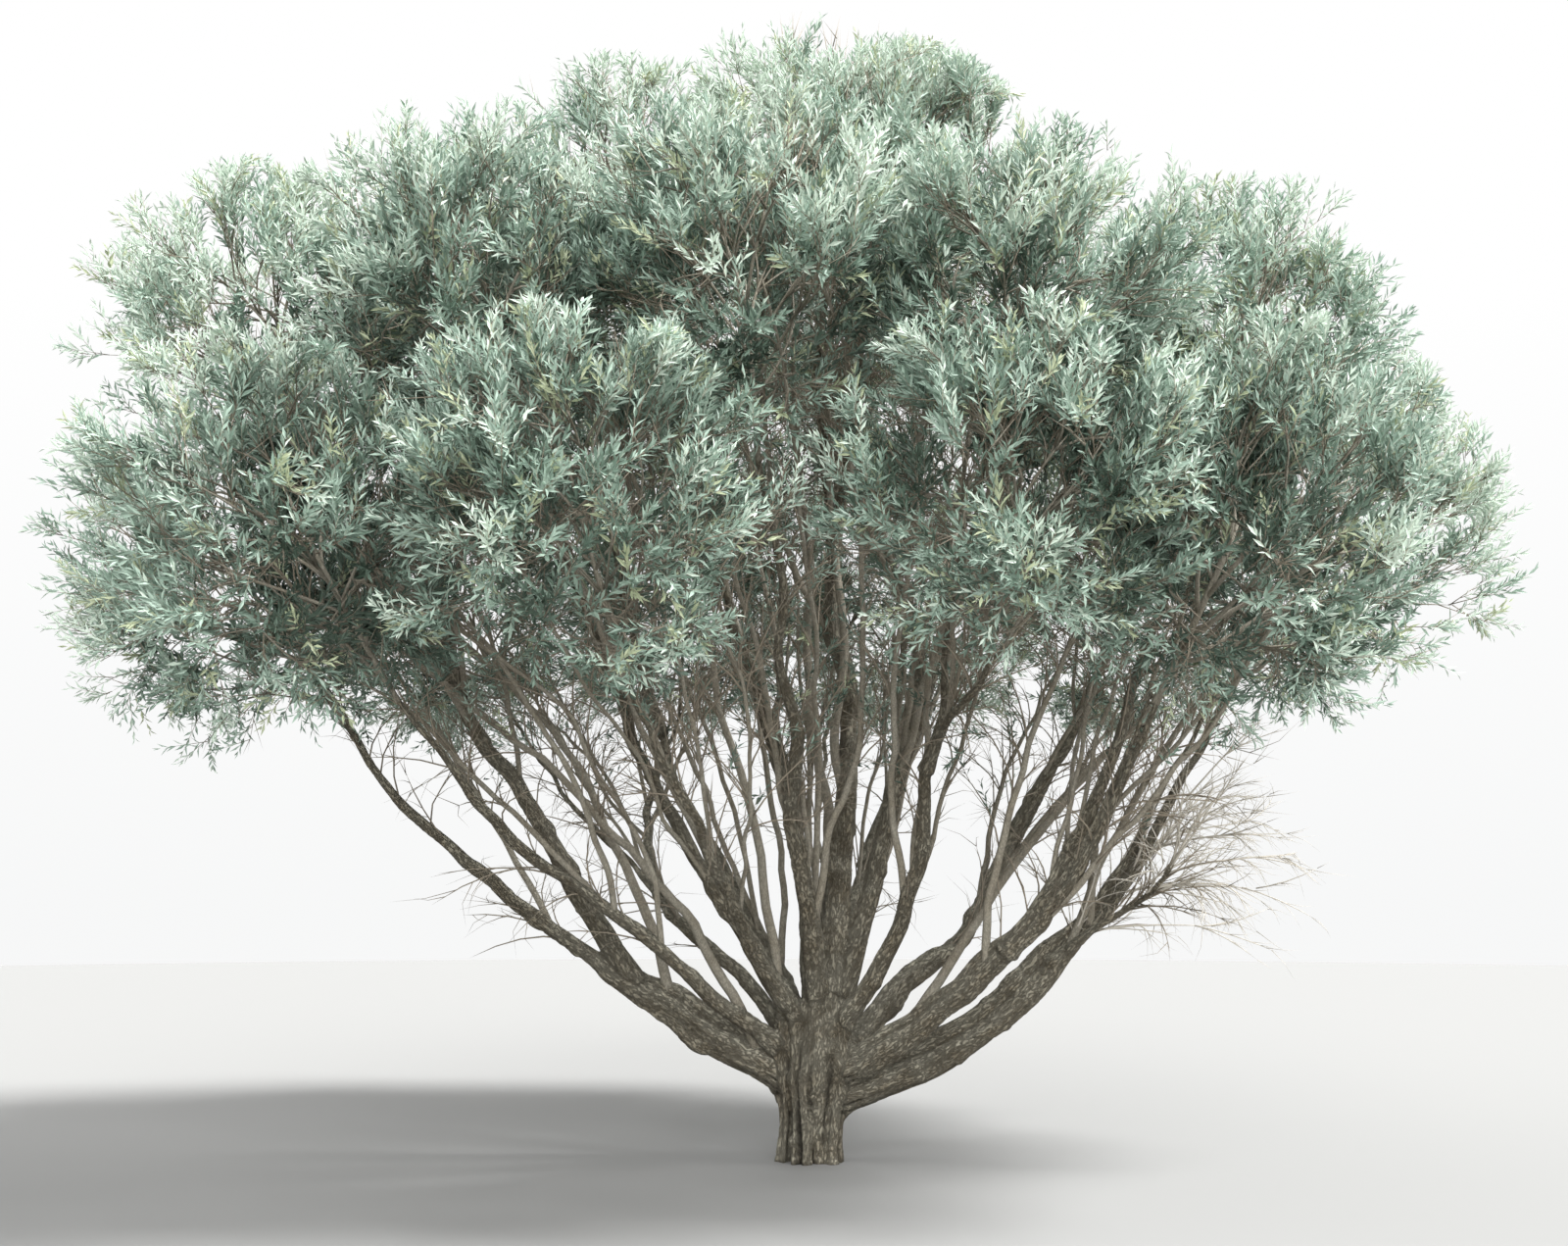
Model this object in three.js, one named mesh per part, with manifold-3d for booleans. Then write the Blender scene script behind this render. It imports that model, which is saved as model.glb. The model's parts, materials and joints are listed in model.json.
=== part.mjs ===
// A garden olive tree: a short fluted trunk, a fan of long leaning boughs, and a wide dense crown of narrow leaves.
// Millimetres and degrees, +Z up. The origin is the middle of the flat cut at the ground; -Y is the side seen in the
// photograph. Every limb and mass is worked out from its row in the table below, by the same few rules.
import * as THREE from "three";
import { mergeVertices } from "three/addons/utils/BufferGeometryUtils.js";
import Module from "manifold-3d";

const wasm = await Module();
wasm.setup();
const { Manifold, Mesh } = wasm;
const olive = new THREE.Group();

// Shared sizes.
const GAP = 0.35; // clear space left between touching nodes
const SPACE_GAP = 5; // each mass stays this far behind the wall it shares with a neighbour
const SQUASH = 0.86; // height of a mass over its width
const CORE = 0.68; // the core's share of the way out to its ball
const CORE_WALL = 0.88; // and the most of the way it may go to the wall of its space
const UNDER = 0.55; // how far a leaning bough is turned to come up into its mass from below
const ENTRY = 0.82; // where a bough ends, as a share of the way from the mass's middle to its wall
const LIMB_SIDES = 6;
const LIMB_STEPS = 8;
const BARK = { color: 0x6f675a, roughness: 0.95, metalness: 0 };
const FOLIAGE = { color: 0x7f9186, roughness: 0.8, metalness: 0 };
const DEAD_WOOD = { color: 0xa8a294, roughness: 0.9, metalness: 0 };

// The trunk, from the ground to the knuckle where the last boughs leave.
const TRUNK = { height: 920, sides: 28, steps: 10, lean: 60, flutes: 7, flute: 0.075, buttress: 0.1 };
const TRUNK_GIRTH = [
  [0, 184],
  [60, 174],
  [190, 172],
  [330, 190],
  [480, 232],
  [630, 246],
  [780, 218],
  [870, 150],
  [920, 90],
];

// One row per bough and the mass it feeds. bearing, reach, height and size place the mass; from and at say where the
// bough leaves the trunk (at: height) or its parent bough (at: share of its length); girth is the radius of its foot,
// lean its foot's tilt from upright, swing how far its foot is turned from the mass's bearing. A bough with no lean of
// its own follows its parent at first.
const CROWN = [
  { name: "low_right", bearing: -3, reach: 3120, height: 3640, size: 1350, from: "trunk", at: 370, girth: 108, lean: 84, swing: 0 },
  { name: "low_left", bearing: -176, reach: 3420, height: 3430, size: 1350, from: "trunk", at: 430, girth: 112, lean: 61, swing: -8 },
  { name: "low_front_right", bearing: -39, reach: 2860, height: 3380, size: 1300, from: "trunk", at: 480, girth: 86, lean: 72, swing: 10 },
  { name: "low_left_front", bearing: -148, reach: 3180, height: 3380, size: 1300, from: "trunk", at: 560, girth: 62, lean: 54, swing: -12 },
  { name: "low_front_left", bearing: -116, reach: 2640, height: 3360, size: 1160, from: "trunk", at: 730, girth: 56, lean: 44, swing: -16 },
  { name: "low_right_back", bearing: 35, reach: 2900, height: 3700, size: 1300, from: "trunk", at: 560, girth: 78, lean: 58, swing: -8 },
  { name: "low_back_right", bearing: 72, reach: 2720, height: 3780, size: 1280, from: "trunk", at: 640, girth: 60, lean: 46, swing: 0 },
  { name: "low_left_back", bearing: 146, reach: 3080, height: 3680, size: 1300, from: "trunk", at: 600, girth: 58, lean: 46, swing: 0 },
  { name: "mid_front_right", bearing: -60, reach: 2120, height: 4520, size: 1220, from: "trunk", at: 650, girth: 62, lean: 40, swing: 22 },
  { name: "mid_front_left", bearing: -100, reach: 2020, height: 4620, size: 1200, from: "trunk", at: 790, girth: 60, lean: 22, swing: 0 },
  { name: "mid_left_front", bearing: -138, reach: 2380, height: 4700, size: 1220, from: "trunk", at: 740, girth: 62, lean: 42, swing: -14 },
  { name: "mid_left_back", bearing: 140, reach: 2620, height: 4880, size: 1220, from: "trunk", at: 700, girth: 58, lean: 30, swing: 10 },
  { name: "mid_back_left", bearing: 100, reach: 2260, height: 4880, size: 1200, from: "trunk", at: 720, girth: 58, lean: 28, swing: 0 },
  { name: "high_right", bearing: 8, reach: 1420, height: 5440, size: 1200, from: "trunk", at: 740, girth: 82, lean: 20, swing: 0 },
  { name: "high_left_front", bearing: -136, reach: 1420, height: 5380, size: 1160, from: "trunk", at: 800, girth: 60, lean: 18, swing: 36 },
  { name: "top", bearing: -70, reach: 300, height: 6340, size: 1000, from: "trunk", at: 820, girth: 88, lean: 6, swing: 60 },
  { name: "low_front", bearing: -66, reach: 2500, height: 3440, size: 1130, from: "mid_front_right", at: 0.46, girth: 42 },
  { name: "low_back_left", bearing: 110, reach: 2760, height: 3800, size: 1280, from: "low_left_back", at: 0.38, girth: 42 },
  { name: "mid_left", bearing: -168, reach: 3260, height: 4800, size: 1250, from: "low_left", at: 0.27, girth: 70, lean: 34, swing: 0 },
  { name: "mid_right_front", bearing: -23, reach: 2680, height: 4540, size: 1230, from: "low_front_right", at: 0.42, girth: 52 },
  { name: "mid_right", bearing: 17, reach: 2820, height: 4720, size: 1240, from: "low_right_back", at: 0.46, girth: 50 },
  { name: "mid_back_right", bearing: 60, reach: 2340, height: 4880, size: 1200, from: "low_back_right", at: 0.46, girth: 44 },
  { name: "high_front", bearing: -68, reach: 1060, height: 5520, size: 1120, from: "top", at: 0.5, girth: 50 },
  { name: "high_back", bearing: 82, reach: 1340, height: 5700, size: 1150, from: "high_right", at: 0.44, girth: 48 },
  { name: "high_left", bearing: 176, reach: 2180, height: 5200, size: 1150, from: "mid_left", at: 0.5, girth: 40 },
  { name: "high_left_back", bearing: 158, reach: 1700, height: 5580, size: 1180, from: "mid_left_back", at: 0.5, girth: 44 },
];

// The spray of bare dead twigs that hangs out under the right of the crown.
const BARE = { name: "bare_right", bearing: -18, reach: 2420, height: 2150, size: 700, from: "low_right", at: 0.42, girth: 30 };

// A repeatable run of numbers from 0 to 1.
function random(seed) {
  let state = seed >>> 0;
  return () => {
    state = (state + 0x6d2b79f5) >>> 0;
    let t = Math.imul(state ^ (state >>> 15), 1 | state);
    t = (t + Math.imul(t ^ (t >>> 7), 61 | t)) ^ t;
    return ((t ^ (t >>> 14)) >>> 0) / 4294967296;
  };
}

const vector = (x, y, z) => new THREE.Vector3(x, y, z);
const radians = THREE.MathUtils.degToRad;

// A direction from its bearing round +Z and its lean from upright.
function heading(bearing, lean) {
  const b = radians(bearing);
  const l = radians(lean);
  return vector(Math.sin(l) * Math.cos(b), Math.sin(l) * Math.sin(b), Math.cos(l));
}

// A manifold solid from rings of points, each ring the same length, closed by a fan at both ends.
function loft(rings) {
  const count = rings[0].length;
  const points = rings.flat();
  const faces = [];
  const middle = (ring) => ring.reduce((sum, p) => sum.add(p), vector(0, 0, 0)).divideScalar(count);
  const first = points.push(middle(rings[0])) - 1;
  const last = points.push(middle(rings[rings.length - 1])) - 1;
  for (let i = 0; i < count; i++) {
    const j = (i + 1) % count;
    for (let k = 0; k + 1 < rings.length; k++) {
      const low = k * count;
      const high = low + count;
      faces.push(low + i, low + j, high + j, low + i, high + j, high + i);
    }
    const end = (rings.length - 1) * count;
    faces.push(first, j, i, last, end + i, end + j);
  }
  return solid(points, faces);
}

function solid(points, faces) {
  const vertProperties = new Float32Array(points.flatMap((p) => [p.x, p.y, p.z]));
  return new Manifold(new Mesh({ numProp: 3, vertProperties, triVerts: new Uint32Array(faces) }));
}

// The two directions across a limb: one level, at right angles to its bearing, and one square to both.
function across(tangent, level) {
  const side = level.clone().addScaledVector(tangent, -level.dot(tangent)).normalize();
  return [side, tangent.clone().cross(side)];
}

function ring(centre, tangent, level, sides, radius) {
  const [side, up] = across(tangent, level);
  return Array.from({ length: sides }, (_, i) => {
    const angle = (2 * Math.PI * i) / sides;
    const r = radius(angle);
    return centre
      .clone()
      .addScaledVector(side, r * Math.cos(angle))
      .addScaledVector(up, r * Math.sin(angle));
  });
}

// The space of a mass: a squashed ball, cut off by a flat wall between it and each neighbour.
const places = [...CROWN, BARE].map((row) => {
  const middle = heading(row.bearing, 90).multiplyScalar(row.reach);
  return { ...row, middle: middle.setZ(row.height) };
});
for (const place of places) {
  place.walls = places
    .filter((other) => other !== place)
    .map((other) => {
      const away = other.middle.clone().sub(place.middle);
      const distance = (away.length() * place.size) / (place.size + other.size) - SPACE_GAP;
      return { normal: away.normalize(), distance };
    });
}

// How far it is from a mass's middle to its squashed ball, and to the wall of its space, in one direction.
function ball(place, direction) {
  const flat = Math.hypot(direction.x, direction.y) / place.size;
  return 1 / Math.hypot(flat, direction.z / (place.size * SQUASH));
}

function wall(place, direction) {
  let distance = ball(place, direction);
  for (const { normal, distance: clear } of place.walls) {
    const along = normal.dot(direction);
    if (along > 0) distance = Math.min(distance, clear / along);
  }
  return distance;
}

function inside(place, point) {
  const away = point.clone().sub(place.middle);
  const length = away.length();
  return length < 1 || length < wall(place, away.divideScalar(length));
}

// The trunk's outline: a girth that changes with height, fluted, and buttressed at the ground.
function girthAt(z) {
  const i = Math.max(1, TRUNK_GIRTH.findIndex(([height]) => height >= z));
  const [z0, r0] = TRUNK_GIRTH[i - 1];
  const [z1, r1] = TRUNK_GIRTH[i];
  return THREE.MathUtils.lerp(r0, r1, THREE.MathUtils.smoothstep(z, z0, z1));
}

const trunkMiddle = (z) => vector((TRUNK.lean * z) / TRUNK.height, 0, z);

function trunkSolid(grown) {
  const rings = [];
  for (let k = 0; k <= TRUNK.steps; k++) {
    const z = TRUNK.height * Math.pow(k / TRUNK.steps, 0.9);
    const spread = Math.exp(-z / 130);
    const radius = (angle) => {
      const flute = TRUNK.flute * Math.cos(TRUNK.flutes * angle + 0.9 * Math.sin(z / 420));
      const buttress = TRUNK.buttress * spread * Math.cos(4 * angle + 0.7);
      return girthAt(z) * (1 + flute + buttress) + grown;
    };
    const lift = k === TRUNK.steps ? grown : 0;
    rings.push(ring(trunkMiddle(z).setZ(z + lift), vector(0, 0, 1), vector(1, 0, 0), TRUNK.sides, radius));
  }
  return loft(rings);
}

// A bough's middle line: a curve that leaves its foot at the lean given, wanders a little, and heads into its mass.
const lines = new Map();
places.forEach((place, index) => {
  const chance = random(101 + index);
  const parent = lines.get(place.from);
  let foot, start;
  if (parent) {
    foot = parent.at(place.at);
    start = parent.tangent(place.at).multiplyScalar(0.55);
    start.addScaledVector(place.middle.clone().sub(foot).normalize(), 0.45).normalize();
  } else {
    foot = trunkMiddle(place.at).addScaledVector(heading(place.bearing + place.swing, 90), 60);
  }
  if (place.lean !== undefined) start = heading(place.bearing + place.swing, place.lean);
  const back = foot.clone().sub(place.middle).normalize();
  back.setZ(back.z - UNDER * Math.hypot(back.x, back.y)).normalize();
  const tip = place.middle.clone().addScaledVector(back, ENTRY * wall(place, back));
  const length = tip.distanceTo(foot);
  const bend = new THREE.CubicBezierCurve3(
    foot,
    foot.clone().addScaledVector(start, 0.42 * length),
    tip.clone().addScaledVector(back, 0.3 * length),
    tip,
  );
  const level = heading(place.bearing + 90, 90);
  const sway = (chance() - 0.5) * 0.05 * length;
  const heave = (chance() - 0.5) * 0.03 * length;
  const at = (t) => {
    const point = bend.getPoint(t);
    const ease = Math.sin(Math.PI * t) ** 2;
    point.addScaledVector(level, sway * ease * Math.cos(4 * t));
    return point.setZ(point.z + heave * ease * Math.sin(6 * t));
  };
  const tangent = (t) => at(Math.min(1, t + 0.01)).sub(at(Math.max(0, t - 0.01))).normalize();
  const tipGirth = Math.max(15, place.girth * 0.3);
  const girth = (t) => THREE.MathUtils.lerp(place.girth, tipGirth, Math.pow(t, 0.8)) * (1 + 0.3 * Math.exp(-t * 13));
  lines.set(place.name, { at, tangent, girth, level, back, tip, tipGirth });
});

function boughSolid(place, grown) {
  const line = lines.get(place.name);
  const rings = [];
  for (let k = 0; k <= LIMB_STEPS; k++) {
    const t = Math.pow(k / LIMB_STEPS, 1.1);
    const last = k === LIMB_STEPS;
    const tangent = last ? line.back.clone().negate() : line.tangent(t);
    const centre = line.at(t).addScaledVector(tangent, last ? grown : 0);
    const radius = (angle) => line.girth(t) * (1 + 0.06 * Math.cos(3 * angle + 4 * t)) + grown;
    rings.push(ring(centre, tangent, line.level, LIMB_SIDES, radius));
  }
  return loft(rings);
}

// The largest body of a solid, with any sealed hollow filled.
function whole(made) {
  return made.decompose().reduce((best, body) => (body.volume() > best.volume() ? body : best));
}

function addNode(name, made, look) {
  const data = made.getMesh();
  const geometry = new THREE.BufferGeometry();
  geometry.setAttribute("position", new THREE.BufferAttribute(data.vertProperties, 3));
  geometry.setIndex(new THREE.BufferAttribute(data.triVerts, 1));
  const mesh = new THREE.Mesh(geometry, new THREE.MeshStandardMaterial({ ...look, flatShading: true }));
  mesh.name = name;
  olive.add(mesh);
}

// Trunk first, then each bough, cut back from everything already there.
addNode("trunk", trunkSolid(0), BARK);
const grownTrunk = trunkSolid(GAP);
const grownBoughs = [];
for (const place of places) {
  let made = boughSolid(place, 0).subtract(grownTrunk);
  for (const earlier of grownBoughs) made = made.subtract(earlier);
  addNode(place.name + "_bough", whole(made), place === places[places.length - 1] ? DEAD_WOOD : BARK);
  grownBoughs.push(boughSolid(place, GAP));
}

// A twig with few sides, and a leaf of eight faces.
function twigSolid(from, to, sides, thick, thin) {
  const tangent = to.clone().sub(from).normalize();
  const level = Math.abs(tangent.z) > 0.9 ? vector(1, 0, 0) : vector(0, 0, 1);
  return loft([
    ring(from, tangent, level, sides, () => thick),
    ring(to, tangent, level, sides, () => thin),
  ]);
}

function leafPoints(root, direction, turn, size) {
  const level = Math.abs(direction.z) > 0.9 ? vector(1, 0, 0) : vector(0, 0, 1);
  const [side, up] = across(direction, level);
  const broad = side.clone().multiplyScalar(Math.cos(turn)).addScaledVector(up, Math.sin(turn));
  const thick = direction.clone().cross(broad);
  const waist = root.clone().addScaledVector(direction, 0.42 * size);
  return [
    root,
    root.clone().addScaledVector(direction, size),
    waist.clone().addScaledVector(broad, 0.17 * size),
    waist.clone().addScaledVector(thick, 0.06 * size),
    waist.clone().addScaledVector(broad, -0.17 * size),
    waist.clone().addScaledVector(thick, -0.06 * size),
  ];
}

const LEAF_FACES = [0, 3, 2, 0, 4, 3, 0, 5, 4, 0, 2, 5, 1, 2, 3, 1, 3, 4, 1, 4, 5, 1, 5, 2];

// Whether a run from one point to another keeps clear of every bough.
function clearOfBoughs(from, to, room) {
  return places.every((place) => {
    const line = lines.get(place.name);
    for (let k = 0; k <= 24; k++) {
      const point = line.at(k / 24);
      const near = new THREE.Line3(from, to).closestPointToPoint(point, true, vector(0, 0, 0));
      if (near.distanceTo(point) < line.girth(k / 24) + room) return false;
    }
    return true;
  });
}

// The lumpy core that stands for the dense inside of a mass.
function coreSolid(place, chance) {
  const rough = new THREE.IcosahedronGeometry(1, 1);
  rough.deleteAttribute("normal");
  rough.deleteAttribute("uv");
  const merged = mergeVertices(rough, 1e-4);
  const position = merged.getAttribute("position");
  const points = Array.from({ length: position.count }, (_, i) => {
    const out = vector(0, 0, 0).fromBufferAttribute(position, i).normalize();
    const far = Math.min(CORE * ball(place, out) * (0.84 + 0.24 * chance()), CORE_WALL * wall(place, out));
    return place.middle.clone().addScaledVector(out, far);
  });
  return solid(points, merged.index.array);
}

// The twigs of a mass: a stem on from the bough's tip, limblets spread evenly round it, forks on each, leaves on those.
const OPEN = 0.94; // twigs that would run into a neighbour before this share of the ball are left out
const SPREAD = Math.PI * (3 - Math.sqrt(5));
const FOLIAGE_RULE = { limblets: 11, forks: 2, near: 0.6, far: 0.76, leaf: 620, twig: 17 };
const BARE_RULE = { limblets: 6, forks: 2, near: 0.75, far: 0.95, leaf: 0, twig: 11 };

function massSolid(place, index, rule, dense) {
  const chance = random(977 * (index + 1));
  const line = lines.get(place.name);
  const start = line.tip.clone().addScaledVector(line.back, -GAP);
  const pieces = [twigSolid(start, place.middle, 5, line.tipGirth * 0.9, line.tipGirth * 0.6)];
  if (dense) pieces.push(coreSolid(place, chance));
  for (let i = 0; i < rule.limblets; i++) {
    const z = 1 - (2 * (i + 0.5)) / rule.limblets;
    const flat = Math.sqrt(1 - z * z);
    const out = vector(flat * Math.cos(i * SPREAD + index), flat * Math.sin(i * SPREAD + index), z);
    const fork = place.middle.clone().addScaledVector(out, 0.42 * wall(place, out));
    pieces.push(twigSolid(place.middle, fork, 3, rule.twig * 1.4, rule.twig));
    for (let j = 0; j < rule.forks; j++) {
      const stray = vector(chance() - 0.5, chance() - 0.5, chance() - 0.5);
      const aim = out.clone().addScaledVector(stray, 1.5).normalize();
      if (wall(place, aim) < OPEN * ball(place, aim)) continue;
      const reach = chance() < 0.12 ? rule.far : rule.near;
      const end = place.middle.clone().addScaledVector(aim, reach * wall(place, aim));
      if (!inside(place, end) || !clearOfBoughs(fork, end, rule.twig + 12)) continue;
      pieces.push(twigSolid(fork, end, 3, rule.twig, rule.twig * 0.55));
      const along = end.clone().sub(fork).normalize();
      const lift = along.clone().add(vector(chance() - 0.5, chance() - 0.5, chance() - 0.2).multiplyScalar(1.9)).normalize();
      const root = end.clone().addScaledVector(along, -40);
      const turn = chance() * Math.PI;
      for (let size = rule.leaf * (0.85 + 0.3 * chance()); size > 0.55 * rule.leaf; size *= 0.85) {
        const points = leafPoints(root, lift, turn, size);
        if (!points.every((p) => inside(place, p)) || !clearOfBoughs(root, points[1], 90)) continue;
        pieces.push(solid(points, LEAF_FACES));
        break;
      }
    }
  }
  let made = Manifold.union(pieces);
  for (const limb of [grownTrunk, ...grownBoughs]) made = made.subtract(limb);
  return whole(made);
}

places.forEach((place, index) => {
  const bare = place.name === BARE.name;
  const made = massSolid(place, index, bare ? BARE_RULE : FOLIAGE_RULE, !bare);
  addNode(place.name + (bare ? "_twigs" : "_leaves"), made, bare ? DEAD_WOOD : FOLIAGE);
});

export default olive;
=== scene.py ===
# %% [markdown]
# # A garden olive tree
# An old olive in a garden: one short fluted trunk that breaks at knee height into a fan of long limbs, and
# over them a wide dome of narrow grey-green leaves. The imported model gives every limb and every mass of
# leaves its place. This script keeps those places and dresses them: one skin of bark over trunk and boughs,
# then branches, twigs and about four hundred thousand leaves, all grown by the same rule that made the
# solids. Everything is in metres, +Z is up, the origin is the middle of the trunk's foot, and -Y is the
# front.

# %% Load the fixed frame
import json
import math
import time

import bmesh
import bpy
import numpy as np
from mathutils import Euler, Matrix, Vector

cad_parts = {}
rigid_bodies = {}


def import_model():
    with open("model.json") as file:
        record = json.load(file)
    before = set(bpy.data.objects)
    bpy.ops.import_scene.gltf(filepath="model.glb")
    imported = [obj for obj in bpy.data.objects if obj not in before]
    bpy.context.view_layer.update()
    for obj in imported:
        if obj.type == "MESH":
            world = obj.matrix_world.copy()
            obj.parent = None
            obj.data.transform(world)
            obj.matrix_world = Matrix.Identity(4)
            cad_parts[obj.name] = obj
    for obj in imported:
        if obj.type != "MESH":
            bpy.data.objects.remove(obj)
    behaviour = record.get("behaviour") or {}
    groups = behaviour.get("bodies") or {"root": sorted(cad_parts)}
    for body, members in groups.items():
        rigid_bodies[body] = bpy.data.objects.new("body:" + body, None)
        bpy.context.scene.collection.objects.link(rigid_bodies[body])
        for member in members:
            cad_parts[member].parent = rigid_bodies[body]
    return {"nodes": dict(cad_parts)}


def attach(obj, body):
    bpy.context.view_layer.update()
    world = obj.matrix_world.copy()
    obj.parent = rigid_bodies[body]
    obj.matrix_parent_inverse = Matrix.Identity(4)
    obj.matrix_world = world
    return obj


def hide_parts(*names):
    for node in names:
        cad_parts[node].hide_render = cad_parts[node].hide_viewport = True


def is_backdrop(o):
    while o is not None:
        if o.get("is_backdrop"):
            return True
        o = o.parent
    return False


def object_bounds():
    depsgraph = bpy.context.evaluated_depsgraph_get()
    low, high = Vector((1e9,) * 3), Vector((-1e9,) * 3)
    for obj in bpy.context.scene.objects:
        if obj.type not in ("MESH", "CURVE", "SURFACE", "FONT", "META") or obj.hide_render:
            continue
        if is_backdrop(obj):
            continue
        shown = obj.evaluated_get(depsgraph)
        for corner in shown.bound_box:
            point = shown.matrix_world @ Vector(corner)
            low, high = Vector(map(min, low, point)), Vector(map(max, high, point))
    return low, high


began = time.time()


def clock():
    """The time since the script began, for the lines that it prints."""
    return f"{time.time() - began:.0f} s"


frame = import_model()
cad_low, cad_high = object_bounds()
print("solids:", len(frame["nodes"]), "box", [round(b - a, 2) for a, b in zip(cad_low, cad_high)])

# %% [markdown]
# ## The camera
# The tree was seen from a little under ten metres away, at eye height, with the camera tipped up so that
# the crown fills the picture. A camera in Blender looks along its own -Z, so a tip of 90 degrees makes it
# level, and the ten and a half degrees more look up. A lens about as long as its sensor is wide gives a
# mild wide angle.

# %% Place the camera
CAMERA_PLACE = (-0.15, -9.6, 1.45)
CAMERA_TIP = 10.54
CAMERA_LENS = 35.6
SENSOR_WIDTH = 36

lens = bpy.data.cameras.new("camera")
lens.lens = CAMERA_LENS
lens.sensor_width = SENSOR_WIDTH
camera = bpy.data.objects.new("camera", lens)
camera.location = CAMERA_PLACE
camera.rotation_euler = Euler((math.radians(90 + CAMERA_TIP), 0, 0))
bpy.context.scene.collection.objects.link(camera)
bpy.context.scene.camera = camera
print("camera", CAMERA_PLACE, "lens", CAMERA_LENS)

# %% [markdown]
# ## Light and floor
# The olive stands in bright haze, so light comes from all round it and most of it from above. The world
# does that part, and the camera sees a plainer white than the one that lights the leaves. A high soft sun
# on the right gives the crown its bright top and its shadow, and a weak, very wide one low at the front
# keeps the near leaves readable. Suns light all places alike, so they leave no bright spot on the floor.
# The floor is a plain pale disc that is no part of the tree.

# %% Make the stage
FLOOR_COLOUR = (0.25, 0.25, 0.245)
FLOOR_RADIUS = 40
# colour at the horizon, colour overhead, and the height at which it is reached
SKY_SEEN = ((0.93, 0.935, 0.935), (1.0, 1.0, 1.0), 0.35)
SKY_LIGHT = ((0.64, 0.64, 0.63), (1.16, 1.16, 1.16), 0.65)
# turn in degrees, strength, and width in the sky in degrees
LIGHTS = {"high_sun": ((38, 0, 78), 7.2, 18), "low_haze": ((66, 0, 4), 2.8, 50)}
LIGHTS_PLACE = (0, 0, 9)


def feed(tree, node, inputs):
    """Each named input gets a value, or a link from another node's output."""
    for key, value in inputs.items():
        if isinstance(value, bpy.types.NodeSocket):
            tree.links.new(value, node.inputs[key])
        else:
            node.inputs[key].default_value = value
    return node


def add_node(tree, kind, inputs=None, **settings):
    made = tree.nodes.new(kind)
    for key, value in settings.items():
        setattr(made, key, value)
    return feed(tree, made, inputs or {})


def new_material(name, colour):
    """A material with nodes, and its tree and shader."""
    material = bpy.data.materials.new(name)
    material.use_nodes = True
    material.diffuse_color = (*colour, 1)
    return material, material.node_tree, material.node_tree.nodes["Principled BSDF"]


def plain_material(name, colour, roughness):
    material, tree, shader = new_material(name, colour)
    feed(tree, shader, {"Base Color": (*colour, 1), "Roughness": roughness})
    return material


world = bpy.data.worlds.new("pale_sky")
world.use_nodes = True
sky = world.node_tree
where = add_node(sky, "ShaderNodeTexCoord")
height = add_node(sky, "ShaderNodeSeparateXYZ", {"Vector": where.outputs["Generated"]})
looked_at = add_node(sky, "ShaderNodeLightPath").outputs["Is Camera Ray"]
graded = []
for level, above, reach in (SKY_LIGHT, SKY_SEEN):
    share = add_node(sky, "ShaderNodeMapRange", {"Value": height.outputs["Z"], "From Max": reach})
    colours = {0: share.outputs["Result"], 6: (*level, 1), 7: (*above, 1)}
    graded.append(add_node(sky, "ShaderNodeMix", colours, data_type="RGBA").outputs[2])
chosen = add_node(sky, "ShaderNodeMix", {0: looked_at, 6: graded[0], 7: graded[1]}, data_type="RGBA")
feed(sky, sky.nodes["Background"], {"Color": chosen.outputs[2]})
bpy.context.scene.world = world
bpy.context.scene.view_settings.view_transform = "Standard"

for name, (turn, strength, width) in LIGHTS.items():
    light = bpy.data.lights.new(name, "SUN")
    light.energy = strength
    light.angle = math.radians(width)
    holder = bpy.data.objects.new(name, light)
    holder.location = LIGHTS_PLACE
    holder.rotation_euler = Euler([math.radians(angle) for angle in turn])
    bpy.context.scene.collection.objects.link(holder)

bpy.ops.mesh.primitive_circle_add(vertices=96, radius=FLOOR_RADIUS, fill_type="NGON")
floor = bpy.context.object
floor.name = "floor"
floor.data.materials.append(plain_material("pale_floor", FLOOR_COLOUR, 0.9))
floor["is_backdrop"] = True
print("stage ready, lights:", ", ".join(LIGHTS))

# %% [markdown]
# ## The rule of the tree
# The solids were worked out from one table: a row for each bough and the mass of leaves at its end. The
# same table stands here in metres and degrees. Each mass owns a space, a squashed ball that is cut flat
# where it meets its neighbours, and nothing that grows in it may pass the wall of that space. That keeps
# the crown's outline and its hollows where the solids have them, however fine the twigs get.

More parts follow.
